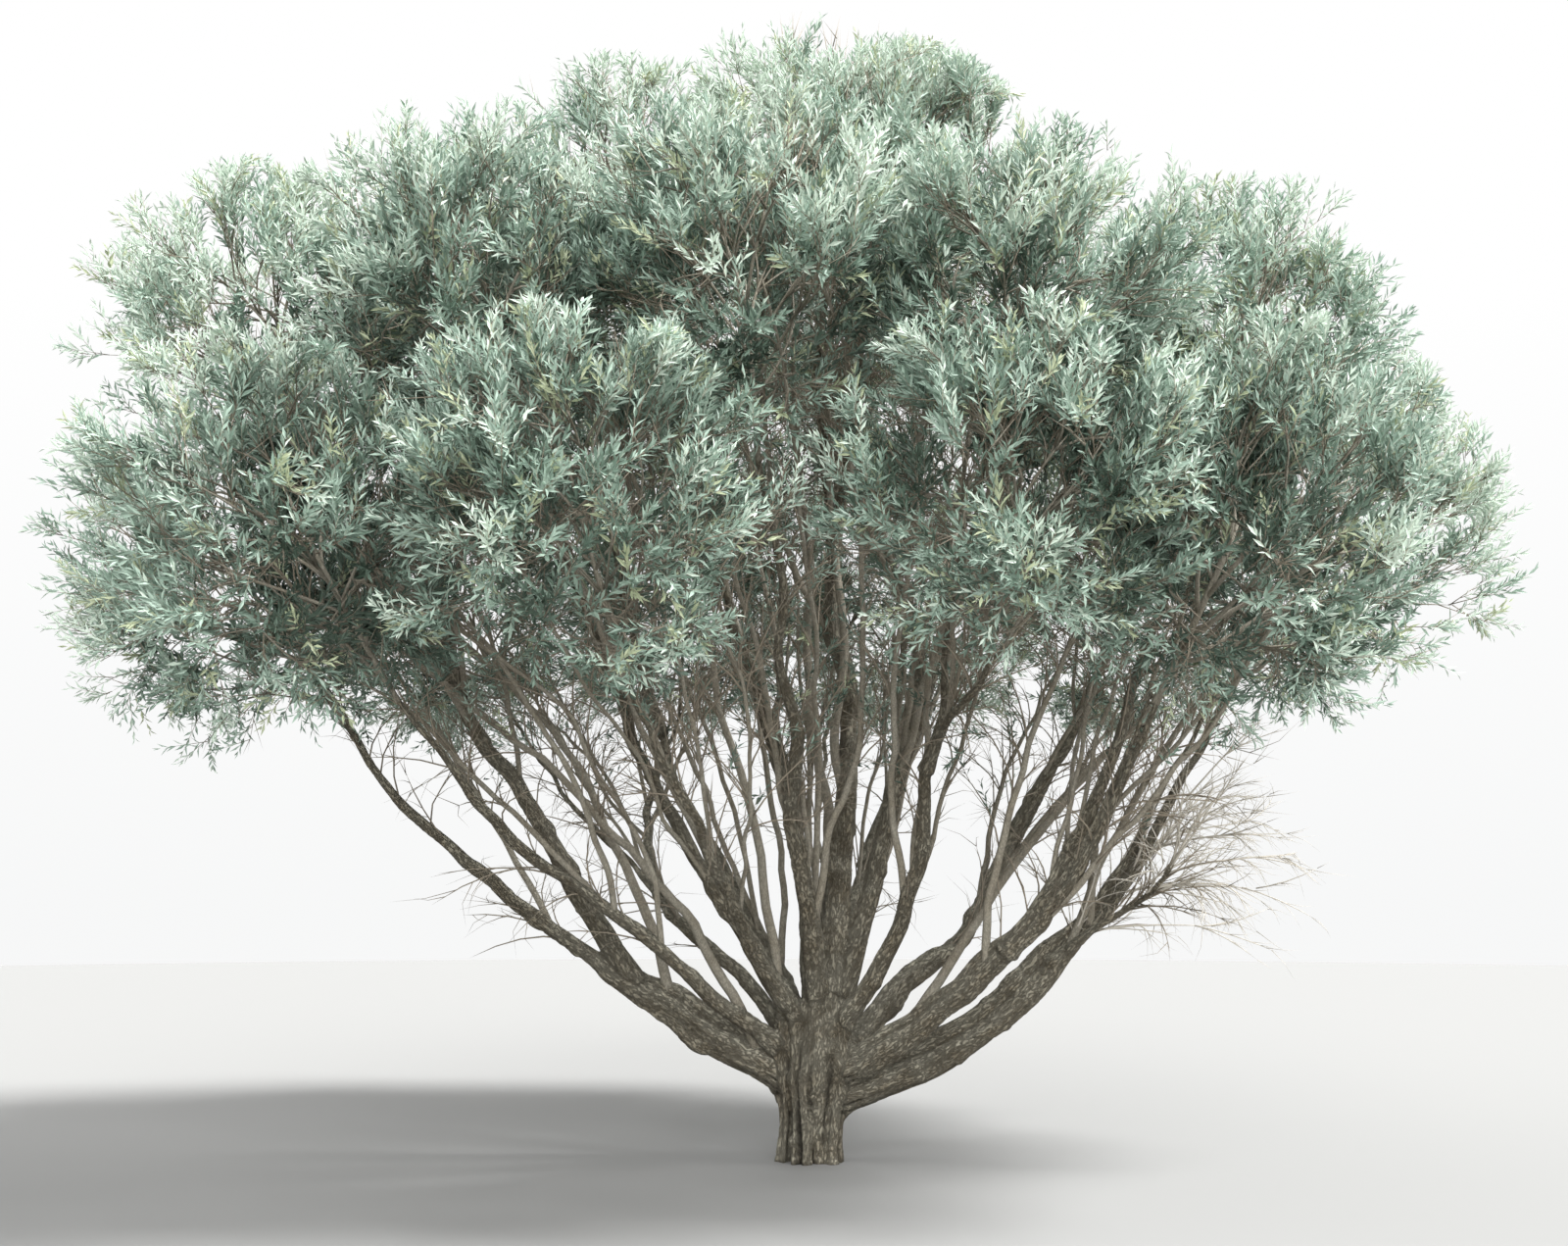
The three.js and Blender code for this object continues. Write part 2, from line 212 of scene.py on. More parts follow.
# %% The table of boughs and masses
# name, bearing, reach, height, size of mass, from, at, girth of foot, lean, swing
CROWN = [
    ("low_right", -3, 3.12, 3.64, 1.35, "trunk", 0.37, 0.108, 84, 0),
    ("low_left", -176, 3.42, 3.43, 1.35, "trunk", 0.43, 0.112, 61, -8),
    ("low_front_right", -39, 2.86, 3.38, 1.30, "trunk", 0.48, 0.086, 72, 10),
    ("low_left_front", -148, 3.18, 3.38, 1.30, "trunk", 0.56, 0.062, 54, -12),
    ("low_front_left", -116, 2.64, 3.36, 1.16, "trunk", 0.73, 0.056, 44, -16),
    ("low_right_back", 35, 2.90, 3.70, 1.30, "trunk", 0.56, 0.078, 58, -8),
    ("low_back_right", 72, 2.72, 3.78, 1.28, "trunk", 0.64, 0.060, 46, 0),
    ("low_left_back", 146, 3.08, 3.68, 1.30, "trunk", 0.60, 0.058, 46, 0),
    ("mid_front_right", -60, 2.12, 4.52, 1.22, "trunk", 0.65, 0.062, 40, 22),
    ("mid_front_left", -100, 2.02, 4.62, 1.20, "trunk", 0.79, 0.060, 22, 0),
    ("mid_left_front", -138, 2.38, 4.70, 1.22, "trunk", 0.74, 0.062, 42, -14),
    ("mid_left_back", 140, 2.62, 4.88, 1.22, "trunk", 0.70, 0.058, 30, 10),
    ("mid_back_left", 100, 2.26, 4.88, 1.20, "trunk", 0.72, 0.058, 28, 0),
    ("high_right", 8, 1.42, 5.44, 1.20, "trunk", 0.74, 0.082, 20, 0),
    ("high_left_front", -136, 1.42, 5.38, 1.16, "trunk", 0.80, 0.060, 18, 36),
    ("top", -70, 0.30, 6.34, 1.00, "trunk", 0.82, 0.088, 6, 60),
    ("low_front", -66, 2.50, 3.44, 1.13, "mid_front_right", 0.46, 0.042, None, 0),
    ("low_back_left", 110, 2.76, 3.80, 1.28, "low_left_back", 0.38, 0.042, None, 0),
    ("mid_left", -168, 3.26, 4.80, 1.25, "low_left", 0.27, 0.070, 34, 0),
    ("mid_right_front", -23, 2.68, 4.54, 1.23, "low_front_right", 0.42, 0.052, None, 0),
    ("mid_right", 17, 2.82, 4.72, 1.24, "low_right_back", 0.46, 0.050, None, 0),
    ("mid_back_right", 60, 2.34, 4.88, 1.20, "low_back_right", 0.46, 0.044, None, 0),
    ("high_front", -68, 1.06, 5.52, 1.12, "top", 0.50, 0.050, None, 0),
    ("high_back", 82, 1.34, 5.70, 1.15, "high_right", 0.44, 0.048, None, 0),
    ("high_left", 176, 2.18, 5.20, 1.15, "mid_left", 0.50, 0.040, None, 0),
    ("high_left_back", 158, 1.70, 5.58, 1.18, "mid_left_back", 0.50, 0.044, None, 0),
    ("bare_right", -18, 2.42, 2.15, 0.70, "low_right", 0.42, 0.030, None, 0),
]
NAMES = [row[0] for row in CROWN]
DEAD = "bare_right"
BARE = NAMES.index(DEAD)
LEAFY = [i for i in range(len(CROWN)) if i != BARE]
SQUASH = 0.86
SPACE_GAP = 0.005
UNDER = 0.55
ENTRY = 0.82
GOLDEN_TURN = math.pi * (3 - math.sqrt(5))


def unit(vectors):
    length = np.linalg.norm(vectors, axis=-1, keepdims=True)
    return vectors / np.maximum(length, 1e-9)


def heading(bearing, lean):
    """The direction that leans so many degrees from upright towards a bearing."""
    turn, tip = math.radians(bearing), math.radians(lean)
    return np.array([math.sin(tip) * math.cos(turn), math.sin(tip) * math.sin(turn), math.cos(tip)])


SIZE = np.array([row[4] for row in CROWN])
MIDDLE = np.array([heading(row[1], 90) * row[2] + (0, 0, row[3]) for row in CROWN])
AWAY = MIDDLE[None] - MIDDLE[:, None]
APART = np.linalg.norm(AWAY, axis=2)
WALL_FACING = unit(AWAY)
WALL_FAR = APART * SIZE[:, None] / (SIZE[:, None] + SIZE[None]) - SPACE_GAP
np.fill_diagonal(WALL_FAR, np.inf)


def ball(mass, way):
    """How far it is from a mass's middle to its squashed ball, for rows of masses and unit directions."""
    flat = np.hypot(way[:, 0], way[:, 1]) / SIZE[mass]
    return 1 / np.hypot(flat, way[:, 2] / (SIZE[mass] * SQUASH))


def wall(mass, way):
    """The same, but no further than the flat walls that it shares with its neighbours."""
    along = np.einsum("nkc,nc->nk", WALL_FACING[mass], way)
    cut = np.where(along > 1e-6, WALL_FAR[mass] / np.maximum(along, 1e-6), np.inf)
    return np.minimum(ball(mass, way), cut.min(axis=1))


print("boughs:", len(CROWN), "masses of leaves:", len(LEAFY))

# %% [markdown]
# ## The limbs' lines
# A bough leaves its foot at a lean, bends up, wanders a little and comes into its mass from below. Each
# line is a cubic curve with two small waves on it. The waves come from a short run of repeatable numbers,
# the same run that the solids used, so the bark will lie over the solid limbs to a few millimetres.

# %% Work out where every limb runs
TRUNK_TOP = 0.92
TRUNK_LEAN = 0.06
TRUNK_GIRTH = [
    (0, 0.184), (0.06, 0.174), (0.19, 0.172), (0.33, 0.190), (0.48, 0.232),
    (0.63, 0.246), (0.78, 0.218), (0.87, 0.150), (0.92, 0.090),
]
FOOT_OUT = 0.06
START_PULL = 0.42
END_PULL = 0.3
SWAY = 0.05
HEAVE = 0.03
THINNEST_TIP = 0.015
TIP_SHARE = 0.3
FOOT_SWELL = 0.3
MASK = 0xFFFFFFFF


def chances(seed, count):
    """A repeatable run of numbers from 0 to 1."""
    state, run = seed, []
    for _ in range(count):
        state = (state + 0x6D2B79F5) & MASK
        t = ((state ^ (state >> 15)) * (1 | state)) & MASK
        t = ((t + (((t ^ (t >> 7)) * (61 | t)) & MASK)) ^ t) & MASK
        run.append((t ^ (t >> 14)) / (MASK + 1))
    return run


def trunk_middle(z):
    return np.array([TRUNK_LEAN * z / TRUNK_TOP, 0, z])


def trunk_girth(z):
    heights = [h for h, _ in TRUNK_GIRTH]
    i = int(np.clip(np.searchsorted(heights, z), 1, len(heights) - 1))
    (z0, r0), (z1, r1) = TRUNK_GIRTH[i - 1], TRUNK_GIRTH[i]
    share = np.clip((z - z0) / (z1 - z0), 0, 1)
    return r0 + (r1 - r0) * share * share * (3 - 2 * share)


class Limb:
    """One row of the table as a curve with a girth, from t = 0 at its foot to t = 1 at its tip."""

    def __init__(self, index, row):
        name, bearing, _, _, _, source, at, girth, lean, swing = row
        middle = MIDDLE[index]
        parent = limbs.get(source)
        if parent is None:
            foot = trunk_middle(at) + heading(bearing + swing, 90) * FOOT_OUT
        else:
            foot = parent.at(np.array([at]))[0]
            start = unit(parent.tangent(np.array([at]))[0] * 0.55 + unit(middle - foot) * 0.45)
        if lean is not None:
            start = heading(bearing + swing, lean)
        back = unit(foot - middle)
        back[2] -= UNDER * math.hypot(back[0], back[1])
        back = unit(back)
        tip = middle + back * ENTRY * wall([index], back[None])[0]
        length = np.linalg.norm(tip - foot)
        chance = chances(101 + index, 2)
        near, far = foot + start * START_PULL * length, tip + back * END_PULL * length
        self.corners = np.array([foot, near, far, tip])
        self.level = heading(bearing + 90, 90)
        self.sway = (chance[0] - 0.5) * SWAY * length
        self.heave = (chance[1] - 0.5) * HEAVE * length
        self.length, self.back, self.tip = length, back, tip
        self.parent, self.leaves_at = parent, at
        self.foot_girth, self.tip_girth = girth, max(THINNEST_TIP, TIP_SHARE * girth)

    def at(self, t):
        t = t[:, None]
        a, b, c, d = self.corners
        point = a * (1 - t) ** 3 + 3 * b * t * (1 - t) ** 2 + 3 * c * t * t * (1 - t) + d * t**3
        ease = np.sin(np.pi * t) ** 2
        point = point + self.level * self.sway * ease * np.cos(4 * t)
        return point + np.array([0, 0, 1]) * self.heave * ease * np.sin(6 * t)

    def tangent(self, t):
        return unit(self.at(np.minimum(1, t + 0.01)) - self.at(np.maximum(0, t - 0.01)))

    def girth(self, t):
        girth = self.foot_girth + (self.tip_girth - self.foot_girth) * t**0.8
        return girth * (1 + FOOT_SWELL * np.exp(-13 * t))


limbs = {}
for index, row in enumerate(CROWN):
    limbs[row[0]] = Limb(index, row)
print("limbs, metres:", {name: round(limb.length, 2) for name, limb in list(limbs.items())[:4]})

# %% [markdown]
# ## Tubes from arrays
# Branches and twigs are the same thing at many sizes: a round, tapering tube along a bent line. One helper
# makes any number of them at once from arrays, because thousands of separate curve objects would be slow to
# make and slower to draw. Each tube is closed, with a lid at its root and a point at its tip, and its faces
# look outwards. Blender reads and writes whole arrays with foreach_get and foreach_set.

# %% Helpers for tubes and meshes
def ring_faces(rings, sides):
    """The quads between neighbouring rings of points, facing outwards."""
    i = np.arange(sides)
    j = (i + 1) % sides
    low = (np.arange(rings - 1) * sides)[:, None]
    return np.stack([low + i, low + j, low + sides + j, low + sides + i], axis=-1).reshape(-1, 4)


def lid_faces(sides):
    """The triangles that close a ring from below."""
    i = np.arange(1, sides - 1)
    return np.stack([0 * i, i + 1, i], axis=-1)


def tubes(paths, girths, sides):
    """Closed tapering tubes, as points, quads and ends. Paths is (tubes, steps, 3), girths (tubes, steps)."""
    count, steps, _ = paths.shape
    tangent = unit(np.gradient(paths, axis=1))
    upright = np.abs(unit(paths[:, -1] - paths[:, 0])[:, 2:]) > 0.8
    level = np.where(upright, (1.0, 0, 0), (0, 0, 1.0))[:, None]
    side = unit(np.cross(level, tangent))
    up = np.cross(tangent, side)
    turn = 2 * np.pi * np.arange(sides) / sides
    spoke = side[:, :, None] * np.cos(turn)[:, None] + up[:, :, None] * np.sin(turn)[:, None]
    rings = paths[:, :-1, None] + girths[:, :-1, None, None] * spoke[:, :-1]
    points = np.concatenate([rings.reshape(count, -1, 3), paths[:, -1:]], axis=1)
    stride = points.shape[1]
    i = np.arange(sides)
    last = (steps - 2) * sides
    fan = np.stack([last + i, last + (i + 1) % sides, np.full(sides, stride - 1)], axis=-1)
    base = (np.arange(count) * stride)[:, None, None]
    quads = (base + ring_faces(steps - 1, sides)).reshape(-1, 4)
    return points.reshape(-1, 3), quads, (base + np.concatenate([fan, lid_faces(sides)])).reshape(-1, 3)


def read(items, field):
    """A vector from every item, such as every point's place, as an array of rows."""
    flat = np.empty(len(items) * 3, np.float32)
    items.foreach_get(field, flat)
    return flat.reshape(-1, 3).astype(float)


def write(items, field, values, kind=np.float32):
    items.foreach_set(field, np.asarray(values).astype(kind).ravel())


def add_layer(mesh, name, values):
    """A named attribute on a mesh's points: a vector for rows of three, else a plain number."""
    kind, field = ("FLOAT_VECTOR", "vector") if values.ndim == 2 else ("FLOAT", "value")
    write(mesh.attributes.new(name, kind, "POINT").data, field, values)


def mesh_of(name, points, face_groups):
    """A mesh from a point array and some (faces, corners) index arrays."""
    mesh = bpy.data.meshes.new(name)
    corners = np.concatenate([faces.ravel() for faces in face_groups])
    sizes = np.concatenate([np.full(len(faces), faces.shape[1]) for faces in face_groups])
    mesh.vertices.add(len(points))
    write(mesh.vertices, "co", points)
    mesh.loops.add(len(corners))
    write(mesh.loops, "vertex_index", corners, np.int32)
    mesh.polygons.add(len(sizes))
    write(mesh.polygons, "loop_start", np.cumsum(sizes) - sizes, np.int32)
    mesh.update(calc_edges=True)
    return mesh


def add_object(name, mesh):
    made = bpy.data.objects.new(name, mesh)
    bpy.context.scene.collection.objects.link(made)
    return made


def joined(parts):
    """Several (points, quads, ends) results as one."""
    points, quads, ends = zip(*parts)
    starts = np.cumsum([0] + [len(some) for some in points])
    moved = []
    for group in (quads, ends):
        moved.append(np.concatenate([faces + start for faces, start in zip(group, starts)]))
    return np.concatenate(points), *moved


def shade_smooth(mesh):
    write(mesh.polygons, "use_smooth", np.ones(len(mesh.polygons)), bool)


def triangles(mesh):
    mesh.calc_loop_triangles()
    return len(mesh.loop_triangles)


def bent(start, way, end, steps, pull=0.45):
    """Quadratic curves that leave their start the given way and come to their end."""
    reach = np.linalg.norm(end - start, axis=1, keepdims=True)
    control = start + way * reach * pull
    t = np.linspace(0, 1, steps)[None, :, None]
    return start[:, None] * (1 - t) ** 2 + 2 * control[:, None] * t * (1 - t) + end[:, None] * t * t


print("helpers ready")

# %% [markdown]
# ## Trunk and boughs
# On the tree the bark runs in one skin from the ground up into every limb, with no seam at a fork. Tubes
# alone would cut through each other in hard creases. So the tubes are only a rough armature: a voxel Remesh
# melts them into one closed surface, and a few rounds of Smooth draw the forks together the way live wood
# grows over them.

# %% Melt the limbs into one body of wood
BARK_VOXEL = 0.0105
FORK_SMOOTHING = 6
ARMATURE_SIDES = 20
WANDER = 0.040
FORK_LOSS = 0.30
RIB_GIRTH = 0.042
RIB_PLACE = 0.84
TRUNK_CORE = 0.80
RIB_DRIFT = 0.25
SUNK = 0.1
RING = 56
FLUTE_SHARE = 0.075
BUTTRESS = 0.1
BUTTRESS_HEIGHT = 0.13
KNOTS = 64
SWELL = 0.07
# a second limb along some: how far off in girths, share of the girth, and where it has sunk back, if it does
TWINS = {"low_left": (0.95, 0.58, 0.42), "low_right": (0.95, 0.68, 2.0), "low_front_right": (0.85, 0.6, 2.0)}


def trunk_armature():
    heights = np.concatenate([[-SUNK], np.linspace(0, TRUNK_TOP, 32)])
    turn = np.linspace(0, 2 * np.pi, RING, endpoint=False)
    rings = []
    for z in heights:
        flute = FLUTE_SHARE * np.cos(7 * turn + 0.9 * math.sin(z / 0.42))
        buttress = BUTTRESS * math.exp(-max(z, 0) / BUTTRESS_HEIGHT) * np.cos(4 * turn + 0.7)
        girth = TRUNK_CORE * trunk_girth(max(z, 0)) * (1 + flute + buttress)
        ring = np.stack([girth * np.cos(turn), girth * np.sin(turn), np.zeros(RING)], axis=-1)
        rings.append(ring + trunk_middle(z))
    top = (len(heights) - 1) * RING
    ends = np.concatenate([lid_faces(RING), top + lid_faces(RING)[:, [0, 2, 1]]])
    return np.concatenate(rings), ring_faces(len(heights), RING), ends


def wave(place, seed):
    """A smooth wandering from -1 to 1 along a line, from a run of repeatable numbers."""
    knots = np.array(chances(seed, KNOTS)) * 2 - 1
    low = np.floor(place).astype(int)
    part = place - low
    part = part * part * (3 - 2 * part)
    return knots[low % KNOTS] * (1 - part) + knots[(low + 1) % KNOTS] * part


def wandering(path, level, length, seed):
    """The line with the kinks of live wood, which fade out at both ends."""
    tangent = unit(np.gradient(path, axis=0))
    side = unit(level - tangent * (tangent @ level)[:, None])
    up = np.cross(tangent, side)
    arc = np.linspace(0, 1, len(path)) ** 1.1 * length
    hold = np.clip(arc / 0.5, 0, 1) * np.clip((length - arc) / 0.4, 0, 1)
    for way, offset in ((side, 0), (up, 7)):
        broad = WANDER * wave(arc / 0.55, seed + offset)
        fine = 0.4 * WANDER * wave(arc / 0.19, seed + offset + 1)
        path = path + way * ((broad + fine) * hold)[:, None]
    return path


def bough_path(limb, steps=60):
    """The limb's own line as it really runs. Its foot goes wherever the wanderings took its parent."""
    t = np.linspace(0, 1, steps) ** 1.1
    seed = int(limb.length * 1e5)
    swell = 1 + SWELL * wave(t * limb.length / 0.22, seed + 3)
    for child in limbs.values():
        if child.parent is limb:
            past = np.clip((t - child.leaves_at) / 0.12, 0, 1)
            swell = swell * (1 - FORK_LOSS * past * (2 - past))
    path = wandering(limb.at(t), limb.level, limb.length, seed)
    if limb.parent:
        parent_path, _, parent_t = bough_path(limb.parent)
        there = np.array([np.interp(limb.leaves_at, parent_t, parent_path[:, axis]) for axis in range(3)])
        path = path + (there - path[0]) * ((1 - t) ** 3)[:, None]
    return path, limb.girth(t) * swell, t


def twin_path(limb, apart, share, sunk):
    """A second limb along the first one's upper side, which parts from it slowly or sinks back into it."""
    path, girth, t = bough_path(limb)
    tangent = limb.tangent(t)
    side = unit(np.cross(tangent, np.cross((0, 0, 1.0), tangent)))
    still = np.clip((sunk - t) / 0.2, 0, 1)
    rise = girth * apart * (1 + 2.2 * t**1.5) * still
    kept = t < sunk
    slimmer = girth * share * np.maximum(still, 0.3)
    return (path + side * rise[:, None])[kept], slimmer[kept], tangent[kept]


def rib_path(limb, steps=30):
    """The ridge of wood that runs down the trunk under a limb and makes the trunk's flutes."""
    foot = limb.at(np.array([0.0]))[0]
    bearing = math.atan2(foot[1], foot[0] - trunk_middle(foot[2])[0])
    rise = np.linspace(-SUNK, foot[2], steps)
    drift = bearing + RIB_DRIFT * (1 - rise / foot[2]) * math.sin(5 * bearing)
    out = np.array([trunk_girth(max(z, 0)) for z in rise]) * RIB_PLACE
    middle = np.array([trunk_middle(z) for z in rise])
    wall_part = middle + np.stack([out * np.cos(drift), out * np.sin(drift), 0 * out], axis=1)
    limb_part = limb.at(np.linspace(0.04, 0.16, 8)) - (0, 0, 0.3 * limb.foot_girth)
    path = np.concatenate([wall_part[:-6], limb_part])
    for _ in range(FORK_SMOOTHING):
        path[1:-1] = (path[:-2] + 2 * path[1:-1] + path[2:]) / 4
    taper = np.linspace(1.15, 0.75, len(path))
    return path, RIB_GIRTH * taper * np.clip(limb.foot_girth / 0.07, 0.8, 1.25)


def blunt_ended(path, girth, onward):
    """One tube whose last ring keeps its girth and whose tip is only just beyond it."""
    line = np.concatenate([path, [path[-1] + onward * 0.02]])
    return tubes(line[None], np.append(girth, 0)[None], ARMATURE_SIDES)


armature = [trunk_armature()]
spines = []
for name, limb in limbs.items():
    path, girth, t = bough_path(limb)
    spines.append((path, limb.tangent(t), limb.level, girth))
    if name in TWINS:
        twin, slimmer, tangent = twin_path(limb, *TWINS[name])
        spines.append((twin, tangent, limb.level, slimmer))
for path, tangent, _, girth in spines:
    armature.append(blunt_ended(path, girth, tangent[-1]))
for row in CROWN:
    if row[5] == "trunk":
        path, girth = rib_path(limbs[row[0]])
        armature.append(blunt_ended(path, girth, unit(path[-1] - path[-2])))
points, quads, ends = joined(armature)
wood = add_object("trunk_and_boughs", mesh_of("trunk_and_boughs", points, [quads, ends]))
print("armature triangles:", triangles(wood.data))


def finished_mesh(source):
    """The object's mesh with its modifiers worked in, which are then removed."""
    graph = bpy.context.evaluated_depsgraph_get()
    mesh = bpy.data.meshes.new_from_object(source.evaluated_get(graph))
    old = source.data
    source.modifiers.clear()
    source.data = mesh
    bpy.data.meshes.remove(old)
    return mesh


remesh = wood.modifiers.new("melt", "REMESH")
remesh.mode = "VOXEL"
remesh.voxel_size = BARK_VOXEL
remesh.use_smooth_shade = True
smooth = wood.modifiers.new("draw_together", "SMOOTH")
smooth.factor = 0.5
smooth.iterations = FORK_SMOOTHING
skin = finished_mesh(wood)
print("skin:", len(skin.vertices), "points,", clock())

# %% [markdown]
# ## The bark's relief
# Olive bark is grey and closely furrowed, the furrows run along each limb, and the short trunk is fluted
# like a bundle of roots. The relief has to follow the limbs, so each point of the skin first asks which
# limb it lies on, and how far along and round it. Noise read in those places gives long furrows, burrs and
# plates that turn with the wood. Where a limb leaves its parent, the parent keeps the points that lie about
# as near to both.

# %% Furrow the skin
TRUNK_SAMPLES = 30
POINTS_AT_ONCE = 20000
NOISE_PRIMES = (73856093, 19349663, 83492791)
FLUTES = 13
FLUTE_DEPTH = 0.055
FURROW_DEPTH = 0.015
PLATE_DEPTH = 0.005
BURR_HEIGHT = 0.060
# how deep a hollow of the relief must be to get the full painted shade
HOLLOW_SHADE_DEPTH = 0.030
BARK_TRIANGLES = 188000


def lumps(points, seed):
    """Smooth noise from -1 to 1: a hashed value at each corner of a unit grid, blended in between."""
    cell = np.floor(points).astype(np.int64)
    part = points - cell
    part = part * part * (3 - 2 * part)
    total = np.zeros(len(points))
    for corner in np.ndindex(2, 2, 2):
        at = (cell + corner) * NOISE_PRIMES
        key = (at[:, 0] ^ at[:, 1] ^ at[:, 2] ^ (seed * 668265263)) & MASK
        key = ((key ^ (key >> 15)) * 2246822519) & MASK
        key = ((key ^ (key >> 13)) * 3266489917) & MASK
        value = ((key ^ (key >> 16)) & 0xFFFF) / 32767.5 - 1
        total += value * np.prod(np.where(corner, part, 1 - part), axis=1)
    return total


def furrow(noise, width):
    """1 along the lines where the noise passes zero, falling to 0 at a width either side."""
    return np.clip(1 - np.abs(noise) / width, 0, 1) ** 1.5


heights = np.linspace(0, TRUNK_TOP, TRUNK_SAMPLES)
trunk_line = np.array([trunk_middle(z) for z in heights])
trunk_round = np.array([trunk_girth(z) for z in heights])
spines = [(trunk_line, np.tile((0, 0, 1.0), (TRUNK_SAMPLES, 1)), np.array([1.0, 0, 0]), trunk_round)] + spines
paths, tangents, levels, girths = zip(*spines)
arcs = [np.append(0, np.cumsum(np.linalg.norm(np.diff(path, axis=0), axis=1))) for path in paths]
LINE_POINT, LINE_ALONG, LINE_GIRTH, LINE_ARC = map(np.concatenate, (paths, tangents, girths, arcs))
LINE_OF = np.repeat(np.arange(len(paths)), [len(path) for path in paths])
LINE_LEVEL = np.array(levels)[LINE_OF]
LINE_YOUNG = 0.02 * np.exp(-LINE_ARC / 0.5) * (LINE_OF > 0)


def limb_place(points):
    """For each point: across and up from its limb's line, how far along it, the limb's girth and number."""
    nearest = np.empty(len(points), int)
    for low in range(0, len(points), POINTS_AT_ONCE):
        some = points[low : low + POINTS_AT_ONCE]
        square = (some**2).sum(1)[:, None] - 2 * some @ LINE_POINT.T + (LINE_POINT**2).sum(1)
        gap = np.sqrt(np.maximum(square, 0)) - LINE_GIRTH + LINE_YOUNG
        nearest[low : low + POINTS_AT_ONCE] = gap.argmin(axis=1)
    off = points - LINE_POINT[nearest]
    along = LINE_ALONG[nearest]
    side = unit(LINE_LEVEL[nearest] - along * (along * LINE_LEVEL[nearest]).sum(1)[:, None])
    across, up, further = ((off * way).sum(axis=1) for way in (side, np.cross(along, side), along))
    return across, up, LINE_ARC[nearest] + further, LINE_GIRTH[nearest], LINE_OF[nearest]


def bark_relief(points, place):
    across, up, along, girth, line = place
    out = np.hypot(across, up)
    ways = np.stack([across / out, up / out], axis=1)
    own = line[:, None] * 7.3
    off_axis = np.hypot(points[:, 0], points[:, 1])
    low_trunk = np.clip((0.80 - points[:, 2]) / 0.5, 0, 1) * np.clip((0.36 - off_axis) / 0.1, 0, 1)
    place_round = np.concatenate([ways * 1.3, along[:, None] * 2.4], axis=1)
    crest = np.cos(FLUTES * np.arctan2(ways[:, 1], ways[:, 0]) + 4.2 * lumps(place_round, 3) + 2.5 * along)
    flutes = np.clip((crest - 0.2) / 0.8, 0, 1) * np.clip(0.8 + 1.1 * lumps(2.3 * place_round, 4), 0.1, 1.4)
    ribs = furrow(lumps(np.concatenate([ways * 1.7 + own, along[:, None] * 1.4], axis=1), 5), 0.45)
    metres = np.stack([across, up, along], axis=1)
    plates = furrow(lumps(metres / (0.026, 0.026, 0.085), 11), 0.4)
    burrs = np.clip(lumps(points / 0.13, 17) - 0.42, 0, 1) * (girth > 0.03)
    swell = lumps(points / 0.34, 19)
    thick = np.clip(girth / 0.08, 0.25, 1)
    return (
        -FLUTE_DEPTH * low_trunk * flutes
        - FURROW_DEPTH * thick * ribs * (1 - 0.6 * low_trunk)
        - PLATE_DEPTH * np.clip(girth / 0.06, 0.3, 1) * plates
        + BURR_HEIGHT * burrs * thick
        + 0.05 * girth * swell
    )


at = read(skin.vertices, "co")
relief = bark_relief(at, limb_place(at))
write(skin.vertices, "co", at + read(skin.vertex_normals, "vector") * relief[:, None])
skin.update()
print("relief from", round(relief.min(), 4), "to", round(relief.max(), 4), "m,", clock())

# %% [markdown]
# ## The flat cut at the ground, and fewer triangles
# The melted body reaches a little below the ground, and a clean cut at height zero gives the trunk its flat
# foot. Decimate then merges triangles where the wood is smooth and leaves them where the relief is rough,
# so the piece stays under two hundred thousand without losing its furrows.

# %% Cut and thin the skin
cutting = bmesh.new()
cutting.from_mesh(skin)
everything = cutting.verts[:] + cutting.edges[:] + cutting.faces[:]
cut = bmesh.ops.bisect_plane(
    cutting, geom=everything, plane_co=(0, 0, 0), plane_no=(0, 0, -1), clear_outer=True
)
rim = [e for e in cut["geom_cut"] if isinstance(e, bmesh.types.BMEdge)]
bmesh.ops.edgeloop_fill(cutting, edges=rim)
cutting.to_mesh(skin)
cutting.free()
thin = wood.modifiers.new("thin", "DECIMATE")
thin.ratio = BARK_TRIANGLES / triangles(skin)
skin = finished_mesh(wood)
at = read(skin.vertices, "co")
place = limb_place(at)
add_layer(skin, "grain", np.stack(place[:3], axis=1))
# how much a point faces the sky: lichen is laid on more thickly there, and so the tops are painted paler, as
# painted light from above
add_layer(skin, "sky_side_lichen_and_light", np.clip(0.15 + 0.85 * read(skin.vertex_normals, "vector")[:, 2], 0, 1))
# painted shade: the deeper a point sits in the relief, the darker its bark is painted
add_layer(skin, "hollow_shade", np.clip(-bark_relief(at, place) / HOLLOW_SHADE_DEPTH, 0, 1))
shade_smooth(skin)
print("bark:", triangles(skin), "triangles,", clock())

# %% [markdown]
# ## The bark's colour
# The bark is grey-brown with browner patches, and nearly black in its cracks. On the skin the hollows of the
# relief are painted darker too, as painted shade where little light gets in. Pale grey lichen marks it, laid
# on more thickly on the sides that face the sky, so those tops are also painted paler, as painted light from
# above.
# The old limbs and the inner branches share that pattern at different scales and strengths, so it is one
# shader group, placed in each material with its own values. On the skin it reads the places that the relief
# left behind, so the cracks run with the wood.

# %% Build the weathered bark group
BARK_COLOURS = ("Crack_and_shade", "Plain", "Warm", "Pale")
BUMP_HEIGHT = 0.012


def add_sockets(tree, in_out, kind, *names):
    for name in names:
        tree.interface.new_socket(name, in_out=in_out, socket_type="NodeSocket" + kind)


